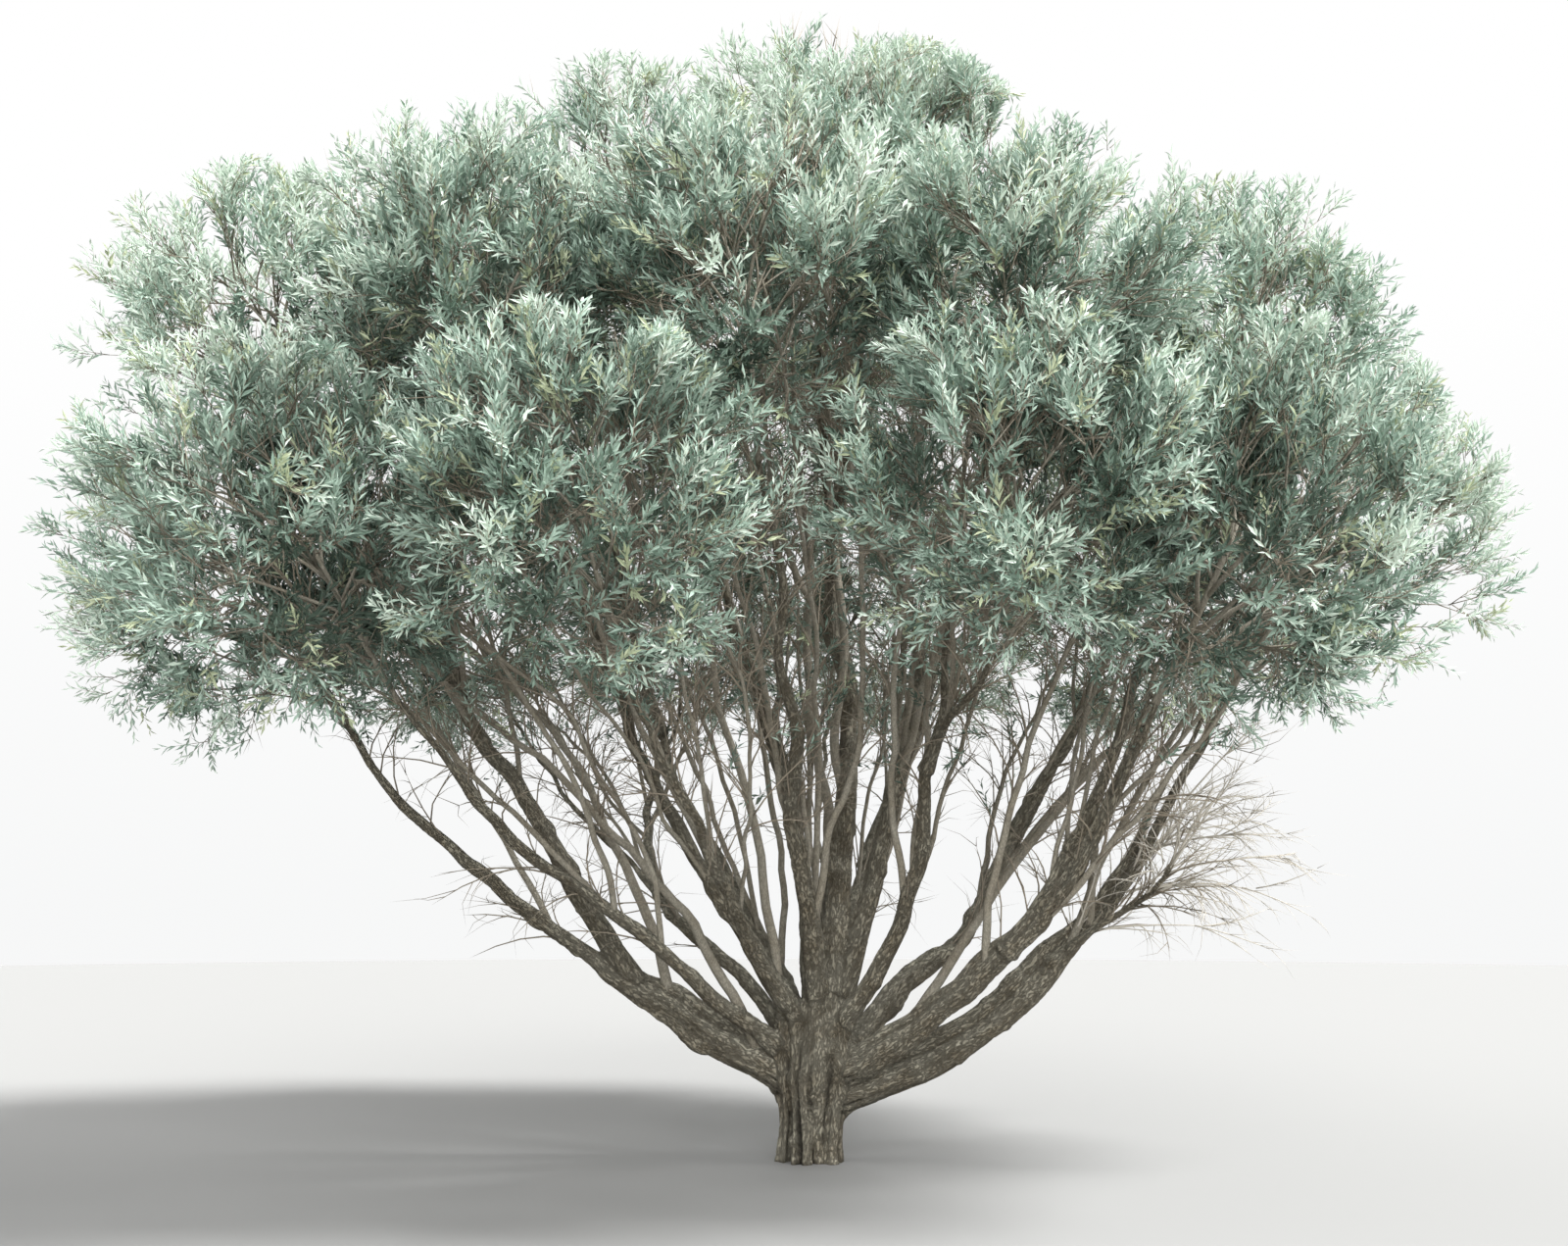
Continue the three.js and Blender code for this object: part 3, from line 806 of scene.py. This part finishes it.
def weathered_bark():
    """The pattern of the bark: places, colours and strengths in, and colour, roughness and height out."""
    group = bpy.data.node_groups.new("weathered_bark", "ShaderNodeTree")
    add_sockets(group, "INPUT", "Vector", "Place")
    add_sockets(group, "INPUT", "Color", *BARK_COLOURS)
    add_sockets(group, "INPUT", "Float", "Across", "Along", "Lichen", "Hollow_shade")
    add_sockets(group, "OUTPUT", "Color", "Colour")
    add_sockets(group, "OUTPUT", "Float", "Roughness", "Height")
    given = group.nodes.new("NodeGroupInput").outputs
    result = group.nodes.new("NodeGroupOutput")

    def math_of(operation, a, b, kind="ShaderNodeMath"):
        return add_node(group, kind, {0: a, 1: b}, operation=operation).outputs[0]

    def noise(vector, size, detail, rough):
        inputs = {"Vector": vector, "Scale": size, "Detail": detail, "Roughness": rough}
        return add_node(group, "ShaderNodeTexNoise", inputs).outputs["Fac"]

    def ranged(value, low, high, to_low=0.0, to_high=1.0):
        inputs = {"Value": value, "From Min": low, "From Max": high, "To Min": to_low, "To Max": to_high}
        return add_node(group, "ShaderNodeMapRange", inputs).outputs["Result"]

    def mixed(share, a, b):
        return add_node(group, "ShaderNodeMix", {0: share, 6: a, 7: b}, data_type="RGBA").outputs[2]

    across = given["Across"]
    scale = add_node(group, "ShaderNodeCombineXYZ", {"X": across, "Y": across, "Z": given["Along"]})
    drawn = math_of("MULTIPLY", given["Place"], scale.outputs[0], "ShaderNodeVectorMath")
    cracks = noise(drawn, 1.0, 5.0, 0.62)
    away = math_of("ABSOLUTE", math_of("SUBTRACT", cracks, 0.5), 0.0)
    open_crack = ranged(away, 0.0, 0.075, 1.0, 0.0)
    plates = noise(drawn, 2.7, 3.0, 0.6)
    broad = noise(given["Place"], 4.5, 3.0, 0.55)
    spots = noise(given["Place"], 21.0, 6.0, 0.68)
    lichen = math_of("MULTIPLY", ranged(spots, 0.36, 0.60, 0.30, 0.95), given["Lichen"])
    colour = mixed(ranged(broad, 0.40, 0.62), given["Plain"], given["Warm"])
    colour = mixed(ranged(plates, 0.35, 0.75, 0.0, 0.34), colour, given["Pale"])
    colour = mixed(lichen, colour, given["Pale"])
    # the cracks are dark in the pattern itself; the relief's hollows are painted darker still, as painted
    # shade
    cracked = math_of("MULTIPLY", open_crack, 0.45)
    dark = math_of("MAXIMUM", cracked, math_of("MULTIPLY", given["Hollow_shade"], 0.8))
    colour = mixed(dark, colour, given["Crack_and_shade"])
    roughness = ranged(plates, 0.3, 0.7, 0.95, 0.78)
    height = math_of("SUBTRACT", math_of("MULTIPLY", plates, 0.5), open_crack)
    feed(group, result, {"Colour": colour, "Roughness": roughness, "Height": height})
    return group


BARK_GROUP = weathered_bark()


def bark_material(name, attribute, across, along, lichen, colours, bump):
    """Weathered bark that reads a piece's own attributes, or its Object coordinates where there are none."""
    material, tree, shader = new_material(name, colours[1])
    hollow_shade = 0.0

    def stored(layer, output):
        return add_node(tree, "ShaderNodeAttribute", attribute_name=layer).outputs[output]

    # on the skin, lichen is laid on more thickly where the bark faces the sky, which also paints those tops
    # paler as painted light, and the relief's hollows are read for painted shade
    if attribute:
        place, facing = stored(attribute, "Vector"), stored("sky_side_lichen_and_light", "Fac")
        lichen = add_node(tree, "ShaderNodeMath", {0: facing, 1: lichen}, operation="MULTIPLY").outputs[0]
        hollow_shade = stored("hollow_shade", "Fac")
    else:
        place = add_node(tree, "ShaderNodeTexCoord").outputs["Object"]
    inputs = {"Place": place, "Across": across, "Along": along, "Lichen": lichen, "Hollow_shade": hollow_shade}
    inputs |= {key: (*colour, 1) for key, colour in zip(BARK_COLOURS, colours)}
    bark = add_node(tree, "ShaderNodeGroup", inputs, node_tree=BARK_GROUP).outputs
    raised = {"Height": bark["Height"], "Strength": bump, "Distance": BUMP_HEIGHT}
    normal = add_node(tree, "ShaderNodeBump", raised).outputs["Normal"]
    feed(tree, shader, {"Base Color": bark["Colour"], "Roughness": bark["Roughness"], "Normal": normal})
    shader.inputs["Specular IOR Level"].default_value = 0.25
    return material


# colours: cracks and painted shade in the skin's hollows, plain bark, warm patches, and pale lichen and
# plates
OLD_BARK = ((0.024, 0.020, 0.014), (0.197, 0.179, 0.135), (0.139, 0.113, 0.074), (0.50, 0.478, 0.388))
INNER_BARK = ((0.085, 0.073, 0.055), (0.250, 0.228, 0.182), (0.20, 0.17, 0.122), (0.43, 0.41, 0.345))
wood.data.materials.append(bark_material("olive_bark", "grain", 52.0, 18.0, 1.0, OLD_BARK, 0.9))
branch_material = bark_material("branch_bark", None, 60.0, 30.0, 0.3, INNER_BARK, 0.4)
print("bark materials:", wood.data.materials[0].name, branch_material.name)

# %% [markdown]
# ## Branches and twigs
# Inside each mass the solids have a stem, limblets spread evenly round it, and forks on those. Here the
# same growth goes two steps further: every fork carries twigs, and every twig carries shoots. Each new step
# starts somewhere along its parent, keeps part of its parent's direction, strays a little, and turns up to
# the light. The rule works on whole arrays, a row for each branch, and fifty thousand shoots take a second.

# %% Tools for growing
MIDWAY = 0.42
DOME = (4.55, 3.75, 4.45)
DOME_FOOT = 2.8
# a room so wide that nothing is drawn back
NO_WALL = 9
FORK_GIRTH = (0.0085, 0.0045)
grow = np.random.default_rng(4127)


def any_way(count):
    return unit(grow.normal(size=(count, 3)))


def between(low, high, count):
    return grow.uniform(low, high, count)


def along_path(path, share):
    """The place and the direction at a share of the way along each path."""
    steps = path.shape[1] - 1
    low = np.clip((share * steps).astype(int), 0, steps - 1)
    row = np.arange(len(path))
    a, b = path[row, low], path[row, low + 1]
    return a + (b - a) * (share * steps - low)[:, None], unit(b - a)


def grown(path, thick, thin, mass):
    """One step of growth: its lines, their girths from foot to tip, and the mass that each belongs to."""
    count, steps, _ = path.shape
    thick = np.broadcast_to(thick, count)[:, None]
    thin = np.broadcast_to(thin, count)[:, None]
    return {"path": path, "girth": thick + (thin - thick) * np.linspace(0, 1, steps), "mass": mass}


def kept_inside(mass, ends, share):
    """Ends that would pass a share of the way to their wall are drawn back to it."""
    off = ends - MIDDLE[mass]
    far = np.linalg.norm(off, axis=1)
    way = unit(off)
    return MIDDLE[mass] + way * np.minimum(far, share * wall(mass, way))[:, None]


def crown_depth(points):
    """How deep a point lies under the outside of the crown, in metres, in the deepest of the leafy balls."""
    depth = np.full(len(points), -1.0)
    for k in LEAFY:
        off = points - MIDDLE[k]
        out = np.hypot(np.hypot(off[:, 0], off[:, 1]), off[:, 2] / SQUASH)
        depth = np.maximum(depth, SIZE[k] - out)
    return depth


def dome_share(points):
    """How far out a point lies in the crown: 0 in the middle of the fan, about 1 at the dome's outside."""
    out = points - (0, 0, DOME_FOOT)
    return np.linalg.norm(np.stack([out[:, 0], out[:, 1], np.maximum(out[:, 2], 0)], axis=1) / DOME, axis=1)


def sprout(parent, each, girth, share, length, keep, stray, lift, steps, room):
    """A new step of growth: some children along every parent, each bent a little and kept in its space."""
    row = np.repeat(np.arange(len(parent["path"])), each)
    mass = parent["mass"][row]
    start, way = along_path(parent["path"][row], between(*share, len(row)))
    outward = unit(start - MIDDLE[mass])
    aim = unit(way * keep + any_way(len(row)) * stray + outward * 0.3 + (0, 0, lift))
    end = kept_inside(mass, start + aim * between(*length, len(row))[:, None], room)
    path = bent(start, unit(way + aim), end, steps) if steps > 2 else np.stack([start, end], axis=1)
    return grown(path, *girth, mass) | {"row": row}


def grow_masses(masses, limblets, forks, near, far):
    """Stem, limblets and forks of some masses, by the rule of the solids."""
    chosen = [limbs[NAMES[i]] for i in masses]
    masses = np.array(masses)
    tips = np.array([limb.tip for limb in chosen])
    backs = np.array([limb.back for limb in chosen])
    thick = np.array([limb.tip_girth for limb in chosen])
    stem = bent(tips + backs * 0.05, -backs, MIDDLE[masses] + (0, 0, 0.1 * far), 8)
    stems = grown(stem, thick * 0.95, thick * 0.55, masses)
    number = np.tile(np.arange(limblets), len(masses))
    row = np.repeat(np.arange(len(masses)), limblets)
    mass = masses[row]
    height = 1 - 2 * (number + 0.5) / limblets
    flat = np.sqrt(1 - height**2)
    turn = number * GOLDEN_TURN + mass
    out = np.stack([flat * np.cos(turn), flat * np.sin(turn), height], axis=1)
    start, way = along_path(stem[row], np.clip(0.55 + 0.4 * height + between(-0.1, 0.1, len(row)), 0.15, 1))
    fork = MIDDLE[mass] + out * (MIDWAY * wall(mass, out))[:, None]
    thin = 0.45 * thick[row] ** 0.8 * 0.4
    first = grown(bent(start, unit(way + out), fork, 6), thick[row] * 0.55, thin, mass)
    row = np.repeat(np.arange(len(mass)), forks)
    mass = mass[row]
    aim = unit(out[row] + grow.uniform(-0.75, 0.75, (len(mass), 3)))
    start, way = along_path(first["path"][row], between(0.45, 1, len(mass)))
    end = MIDDLE[mass] + aim * (between(near, far, len(mass)) * wall(mass, aim))[:, None]
    return stems, first, grown(bent(start, unit(way + aim), end, 5), *FORK_GIRTH, mass)


def wooden(parts, name, material):
    """One object from several steps of growth, each with its own number of sides."""
    points, quads, ends = joined([tubes(part["path"], part["girth"], sides) for part, sides in parts])
    made = add_object(name, mesh_of(name, points, [quads, ends]))
    made.data.materials.append(material)
    shade_smooth(made.data)
    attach(made, "root")
    print(name, triangles(made.data), "triangles")
    return made


def some_of(step, chosen):
    return {key: value[chosen] for key, value in step.items()}


print("growing tools ready")

# %% Grow the crown
LIMBLETS = 13
FORKS = 5
FORK_REACH = (0.60, 0.84)
# number on each parent, girth at foot and tip, where on the parent, length, share of the parent's direction,
# straying, lift, steps in the line, and how much of its space it may fill
TWIG = (5, (0.0042, 0.0020), (0.3, 1), (0.20, 0.42), 0.7, 0.75, 0.30, 2, 0.93)
SHOOT = (6, (0.0027, 0), (0.25, 1), (0.14, 0.28), 0.75, 0.65, 0.5, 2, 1.0)
LEAFY_DEPTH = 0.56
LEAFY_FADE = 0.35
HOLLOW = (0.50, 0.72)
LEAST_LEAFY = 0.04
TOP_ROOM = 0.14
TOP_SLOPE = 0.16
BARE_SHARE = 0.16
POCKET_BARE_SHARE = 0.45
POCKET_EDGE = -0.38

stems, limblets, forks = grow_masses(LEAFY, LIMBLETS, FORKS, *FORK_REACH)
twigs = sprout(forks, *TWIG)
shoots = sprout(twigs, *SHOOT)
shoot_tips = shoots["path"][:, 1]
leaf_chance = np.clip((LEAFY_DEPTH + LEAFY_FADE - crown_depth(shoot_tips)) / LEAFY_FADE, 0, 1)
leaf_chance *= np.clip((dome_share(shoot_tips) - HOLLOW[0]) / (HOLLOW[1] - HOLLOW[0]), 0, 1)
pocket = lumps(shoot_tips / 0.27, 31) + 0.6 * lumps(shoot_tips / 0.13, 33) < POCKET_EDGE
too_high = shoot_tips[:, 2] > cad_high[2] - TOP_ROOM + TOP_SLOPE * np.minimum(shoot_tips[:, 1], 0)
leafy = between(0, 1, len(shoot_tips)) < np.maximum(leaf_chance, LEAST_LEAFY)
bears_leaves = leafy & ~pocket & ~too_high
bare_chance = np.where(pocket, POCKET_BARE_SHARE, BARE_SHARE)
shown = (bears_leaves | (between(0, 1, len(shoot_tips)) < bare_chance)) & ~too_high
print("limblets", len(limblets["path"]), "forks", len(forks["path"]), "twigs", len(twigs["path"]))
print("shoots", len(shoot_tips), "leafy", int(bears_leaves.sum()), "shown", int(shown.sum()))

# %% Grow thinner limbs between the boughs
SIDE_LIMBS = 3
SIDE_LIMB_STEPS = 40
SIDE_LIMB_GIRTH = (0.30, 0.55)
fan = [limbs[name] for name in NAMES]
bough_lines = np.array([bough_path(limb, SIDE_LIMB_STEPS)[0] for limb in fan])


def side_limbs():
    """Thinner limbs that leave the boughs low down and climb into the same masses by ways of their own."""
    row = np.repeat(LEAFY, SIDE_LIMBS)
    share = between(0.07, 0.55, len(row))
    foot, way = along_path(bough_lines[row], share)
    aim = unit(any_way(len(row)) + (0, 0, 0.2))
    start = unit(way * 0.6 + aim * 0.45 + (0, 0, 0.6))
    end = MIDDLE[row] + aim * (between(0.25, 0.6, len(row)) * wall(row, aim))[:, None]
    paths = bent(foot, start, end, SIDE_LIMB_STEPS)
    length = np.linalg.norm(end - foot, axis=1)
    for k, path in enumerate(paths):
        level = unit(np.cross((0, 0, 1.0), end[k] - foot[k]))
        paths[k] = wandering(path, level, length[k], 5000 + 11 * k)
    parent_girth = np.array([fan[i].girth(np.array([t]))[0] for i, t in zip(row, share)])
    thick = np.clip(parent_girth * between(*SIDE_LIMB_GIRTH, len(row)), 0.012, 0.036)
    return grown(paths, thick, 0.008, row)


spare_limbs = side_limbs()
print("side limbs", len(spare_limbs["path"]))

# %% Make the branches and twigs
twig_material = plain_material("twig_bark", (0.26, 0.222, 0.168), 0.8)
inner = [(spare_limbs, 7), (stems, 7), (limblets, 5), (forks, 3)]
wooden(inner, "inner_branches", branch_material)
wooden([(twigs, 3)], "twigs", twig_material)
wooden([(some_of(shoots, shown), 3)], "shoots", twig_material)

# %% [markdown]
# ## Bare wood under the crown
# Little light reaches the inside of the fan, so the limbs there carry thin side branches that are bare but
# for a sprig here and there. Low on the right a whole bough has died back to a pale tangle. Its bark stays
# part of the skin, and stiff dead branches stand off its line and off the bough that carries it.

# %% Grow the bare side branches and the dead bough
SIDE_TWIG = (17, (0.0065, 0.0028), (0.25, 0.98), (0.22, 0.8), 0.75, 0.65, 0.3, 5, NO_WALL)
FINER_TWIG = (6, (0.0028, 0), (0.2, 1), (0.12, 0.38), 0.7, 0.6, 0.2, 3, NO_WALL)
LOWEST_TWIG = 1.15
SPRIG_SHARE = 0.13
SPRIG_FOOT = 1.9
SPRIG_RISE = 0.9
fan_lines = np.concatenate([bough_lines, spare_limbs["path"]])
fan_mass = np.concatenate([np.arange(len(fan)), spare_limbs["mass"]])
side = sprout({"path": fan_lines, "mass": fan_mass}, *SIDE_TWIG)
side = some_of(side, side["path"][:, :, 2].min(axis=1) > LOWEST_TWIG)
finer = sprout(side, *FINER_TWIG)
finer = some_of(finer, finer["path"][:, -1, 2] > LOWEST_TWIG)
finer_ends = finer["path"][:, -1]
sprig_chance = SPRIG_SHARE * np.clip((finer_ends[:, 2] - SPRIG_FOOT) / SPRIG_RISE, 0, 1)
sprig = between(0, 1, len(finer_ends)) < sprig_chance
wooden([(side, 3), (finer, 3)], "side_twigs", twig_material)
print("side twigs that bear a few leaves:", int(sprig.sum()))

DEAD_BRANCHES = 7
DEAD_ON_BOUGH = 12
DEAD_FROM = 22
DEAD_STRETCH = slice(18, 30)
DEAD_LEAN = np.array([0.6, -0.2, 0.32])
DEAD_TWIG = (7, (0.0042, 0.002), (0.15, 1), (0.15, 0.55), 0.9, 0.6, 0.05, 5, NO_WALL)
DEAD_FINE = (6, (0.0024, 0), (0.15, 1), (0.08, 0.28), 0.8, 0.6, 0.0, 3, NO_WALL)
dead_wood = plain_material("dead_wood", (0.52, 0.485, 0.42), 0.9)
bare_limb = fan[BARE]
carrier = NAMES.index(CROWN[BARE][5])
stem_end = bent(bare_limb.tip[None], -bare_limb.back[None], MIDDLE[BARE][None], 6)[0]
dead_line = np.concatenate([bough_lines[BARE][DEAD_FROM:], stem_end[1:]])


def dead_spray(line, count, share, length):
    """Stiff dead branches that stand off a line, mostly out to the right, and no two the same length."""
    start, way = along_path(np.repeat(line[None], count, axis=0), between(*share, count))
    aim = unit(way * 0.5 + any_way(count) * 0.75 + DEAD_LEAN)
    end = start + aim * between(*length, count)[:, None]
    return bent(start, unit(way + 2 * aim), end, 7, 0.3)


dead_path = np.concatenate([
    dead_spray(dead_line, DEAD_BRANCHES, (0.05, 1), (0.3, 0.8)),
    dead_spray(bough_lines[carrier][DEAD_STRETCH], DEAD_ON_BOUGH, (0, 1), (0.4, 1.1)),
])
dead = grown(dead_path, 0.009, 0.003, np.full(len(dead_path), BARE))
dead_twigs = sprout(dead, *DEAD_TWIG)
dead_fine = sprout(dead_twigs, *DEAD_FINE)
dead_stem = grown(dead_line[None], 0.013, 0.008, BARE)
tangle = [(dead_stem, 7), (dead, 5), (dead_twigs, 4), (dead_fine, 3)]
dead_piece = wooden(tangle, "dead_twigs", dead_wood)

# %% [markdown]
# ## The leaves
# An olive leaf is narrow, blunt and a little folded, and sits in pairs along its shoot, each pair turned a
# quarter from the last. Two long triangles are enough for its outline and the fold along its midrib. Arrays
# work out where every leaf sits and which way it faces, and Geometry Nodes puts one on each place.

# %% Lay out the leaf places
PAIRS = 6
PAIR_SIZES = np.array([0.80, 0.95, 1.0, 1.0, 0.95, 0.75])
LEAF_LENGTH = (0.054, 0.077)
LEAF_WIDTH = 0.23
DEEP_GROWTH = 0.35
LEAF_ROOM = 0.03
TURN_SCATTER = 0.25
FACE_SCATTER = 0.35
SPLAY = (30, 60)
SPLAY_LOSS = 4
OVERREACH = np.array([0.09, 0.09, -0.03])
# name, colour, and share of the leaves from pale to dark; the young ones are picked by spray instead.
# But for the young ones these are lit and shaded copies of one leaf: the palest is partly the leaves' own
# silver and partly painted sunlight, and the grey-green and deep ones are painted shade.
LEAF_KINDS = [
    ("leaves_silver", (0.57, 0.66, 0.57), 0.35),
    ("leaves_sea_green", (0.345, 0.45, 0.375), 0.35),
    ("leaves_grey_green", (0.195, 0.275, 0.22), 0.20),
    ("leaves_deep", (0.070, 0.105, 0.077), 0.10),
    ("leaves_young", (0.42, 0.47, 0.31), 0.0),
]
YOUNG_SHARE = 0.07
PIECE_TRIANGLES = 190000
# the way the sun seems to come from, for painted sunlight on the leaves that face it
SUNNY_SIDE = np.array([0.08, 0.50, 0.86])

leafy_lines = np.concatenate([shoots["path"][bears_leaves], finer["path"][sprig][:, [0, -1]]])
line_mass = np.concatenate([shoots["mass"][bears_leaves], finer["mass"][sprig]])
line_spray = np.concatenate([shoots["row"][bears_leaves], len(twigs["path"]) + finer["row"][sprig]])
line_room = np.where(np.arange(len(leafy_lines)) < bears_leaves.sum(), LEAF_ROOM, NO_WALL)
line = np.repeat(np.arange(len(leafy_lines)), PAIRS * 2)
count = len(line)
pair = np.tile(np.repeat(np.arange(PAIRS), 2), count // (2 * PAIRS))
facing = np.tile([0.0, np.pi], count // 2)
line_start, line_end = leafy_lines[line, 0], leafy_lines[line, 1]
root = line_start + (line_end - line_start) * ((pair + 1.0) / PAIRS)[:, None]
stalk = unit(line_end - line_start)
flank = unit(np.cross(stalk, np.where(np.abs(stalk[:, 2:]) > 0.8, (1.0, 0, 0), (0, 0, 1.0))))
other = np.cross(stalk, flank)
turn = facing + pair * np.pi / 2 + between(0, 2 * np.pi, len(leafy_lines))[line]
turn += grow.normal(0, TURN_SCATTER, count)
splay = np.radians(grow.uniform(*SPLAY, count) - SPLAY_LOSS * pair)
sideways = flank * np.cos(turn)[:, None] + other * np.sin(turn)[:, None]
leaf_aim = unit(stalk * np.cos(splay)[:, None] + sideways * np.sin(splay)[:, None])
leaf_face = stalk - leaf_aim * (stalk * leaf_aim).sum(1)[:, None]
leaf_face = unit(leaf_face + grow.normal(0, FACE_SCATTER, (count, 3)))
depth_here = crown_depth(root)
deeper = 1 + DEEP_GROWTH * np.clip(depth_here / LEAFY_DEPTH, 0, 1)
leaf_size = grow.uniform(*LEAF_LENGTH, count) * PAIR_SIZES[pair] * deeper
tip_point = root + leaf_aim * leaf_size[:, None]
off = tip_point - MIDDLE[line_mass[line]]
fits = np.linalg.norm(off, axis=1) < wall(line_mass[line], unit(off)) + line_room[line]
above, below = tip_point > np.array(cad_low) - OVERREACH, tip_point < np.array(cad_high) + OVERREACH
fits &= (above & below).all(axis=1)
print("leaves", count, "that fit", int(fits.sum()))


def leaf_outline():
    """One leaf, a metre long, along +X, facing +Z: a narrow kite, folded a little along its midrib."""
    points = [(0, 0, 0), (0.42, 0.5, 0.07), (0.52, -0.5, 0.04), (1, 0, -0.05)]
    faces = [(0, 2, 3), (0, 3, 1)]
    mesh = bpy.data.meshes.new("leaf_outline")
    mesh.from_pydata([(x, y * LEAF_WIDTH, z) for x, y, z in points], [], faces)
    return add_object("leaf_outline", mesh)


def leaf_tree():
    """Geometry Nodes: a leaf on every point, turned by the point's aim and face, scaled by its size."""
    tree = bpy.data.node_groups.new("leaf_on_each_place", "GeometryNodeTree")
    tree.is_modifier = True
    add_sockets(tree, "INPUT", "Geometry", "Geometry")
    add_sockets(tree, "INPUT", "Object", "Leaf")
    add_sockets(tree, "INPUT", "Material", "Material")
    add_sockets(tree, "INPUT", "Float", "Length", "Width")
    add_sockets(tree, "OUTPUT", "Geometry", "Geometry")

    def new(kind, output, inputs, **settings):
        return add_node(tree, kind, inputs, **settings).outputs[output]

    def stored(name, kind):
        return new("GeometryNodeInputNamedAttribute", "Attribute", {"Name": name}, data_type=kind)

    given = tree.nodes.new("NodeGroupInput").outputs
    leaf = new("GeometryNodeObjectInfo", "Geometry", {"Object": given["Leaf"]})
    axes = {"Primary Axis": stored("aim", "FLOAT_VECTOR"), "Secondary Axis": stored("face", "FLOAT_VECTOR")}
    turn = new("FunctionNodeAxesToRotation", "Rotation", axes, primary_axis="X", secondary_axis="Z")
    sizes = {0: stored("size", "FLOAT"), 1: given["Length"]}
    long = new("ShaderNodeMath", "Value", sizes, operation="MULTIPLY")
    broad = new("ShaderNodeMath", "Value", {0: long, 1: given["Width"]}, operation="MULTIPLY")
    scale = new("ShaderNodeCombineXYZ", "Vector", {"X": long, "Y": broad, "Z": long})
    places = {"Points": given["Geometry"], "Instance": leaf, "Rotation": turn, "Scale": scale}
    put = new("GeometryNodeInstanceOnPoints", "Instances", places)
    real = new("GeometryNodeRealizeInstances", "Geometry", {"Geometry": put})
    dressed = new("GeometryNodeSetMaterial", "Geometry", {"Geometry": real, "Material": given["Material"]})
    add_node(tree, "NodeGroupOutput", {"Geometry": dressed})
    return tree


def place_leaves(name, chosen, leaf, tree, material):
    mesh = bpy.data.meshes.new(name)
    mesh.vertices.add(len(chosen))
    write(mesh.vertices, "co", root[chosen])
    layers = {"aim": leaf_aim, "face": leaf_face, "size": leaf_size}
    for key, values in layers.items():
        add_layer(mesh, key, values[chosen])
    made = add_object(name, mesh)
    grower = made.modifiers.new("leaves", "NODES")
    grower.node_group = tree
    inputs = {item.name: item.identifier for item in tree.interface.items_tree if item.in_out == "INPUT"}
    for key, value in {"Leaf": leaf, "Material": material, "Length": 1.0, "Width": 1.0}.items():
        grower[inputs[key]] = value
    done = finished_mesh(made)
    for key in layers:
        if key in done.attributes:
            done.attributes.remove(done.attributes[key])
    return made


# %% Deal the leaves out by spray and place them
# what counts when the leaves are ranked from pale to dark: lying deep in the crown or in the fan's recess
# paints them darker as painted shade, facing the sun paints them paler as painted sunlight, and the spray,
# the patches and the scatter are the leaves' own variation
SHADE, SUN, RECESS_SHADE, PATCHES, SCATTER = 0.9, 0.6, 1.6, 0.35, 0.18
PATCH_SIZE = 0.5
spray_mood = between(0, 1, line_spray.max() + 1)[line_spray[line]]
# depth under the crown's outside and the fan's recess, for painted shade
shade = np.clip(depth_here / 0.7, 0, 1.2)
sunny = unit(root - (0, 0, DOME_FOOT)) @ SUNNY_SIDE
recess_shade = 0.9 - dome_share(root)
score = spray_mood + SHADE * shade - SUN * sunny + RECESS_SHADE * recess_shade + PATCHES * lumps(root / PATCH_SIZE, 23)
score += grow.normal(0, SCATTER, count)
rank = np.empty(count)
rank[np.argsort(score)] = np.linspace(0, 1, count, endpoint=False)
young = between(0, 1, len(leafy_lines))[line] < YOUNG_SHARE
edges = np.cumsum([0] + [share for _, _, share in LEAF_KINDS[:-1]])
edges[-1] = 1
kind = np.where(young, len(LEAF_KINDS) - 1, np.searchsorted(edges, rank, side="right") - 1)
leaf = leaf_outline()
tree = leaf_tree()
for k, (name, colour, _) in enumerate(LEAF_KINDS):
    chosen = np.flatnonzero(fits & (kind == k))
    pieces = math.ceil(2 * len(chosen) / PIECE_TRIANGLES)
    material = plain_material(name, colour, 0.5)
    for part, some in enumerate(np.array_split(chosen, pieces)):
        piece = place_leaves(name + ("_" + "abc"[part] if pieces > 1 else ""), some, leaf, tree, material)
        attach(piece, "root")
        print(piece.name, triangles(piece.data), "triangles,", clock())
bpy.data.objects.remove(leaf)

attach(wood, "root")
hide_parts("trunk", *[NAMES[i] + "_bough" for i in LEAFY])
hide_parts(*[NAMES[i] + "_leaves" for i in LEAFY])
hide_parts(DEAD + "_bough")
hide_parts(DEAD + "_twigs")
full_low, full_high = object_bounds()
print("box", [round(v, 3) for v in full_low], [round(v, 3) for v in full_high], clock())
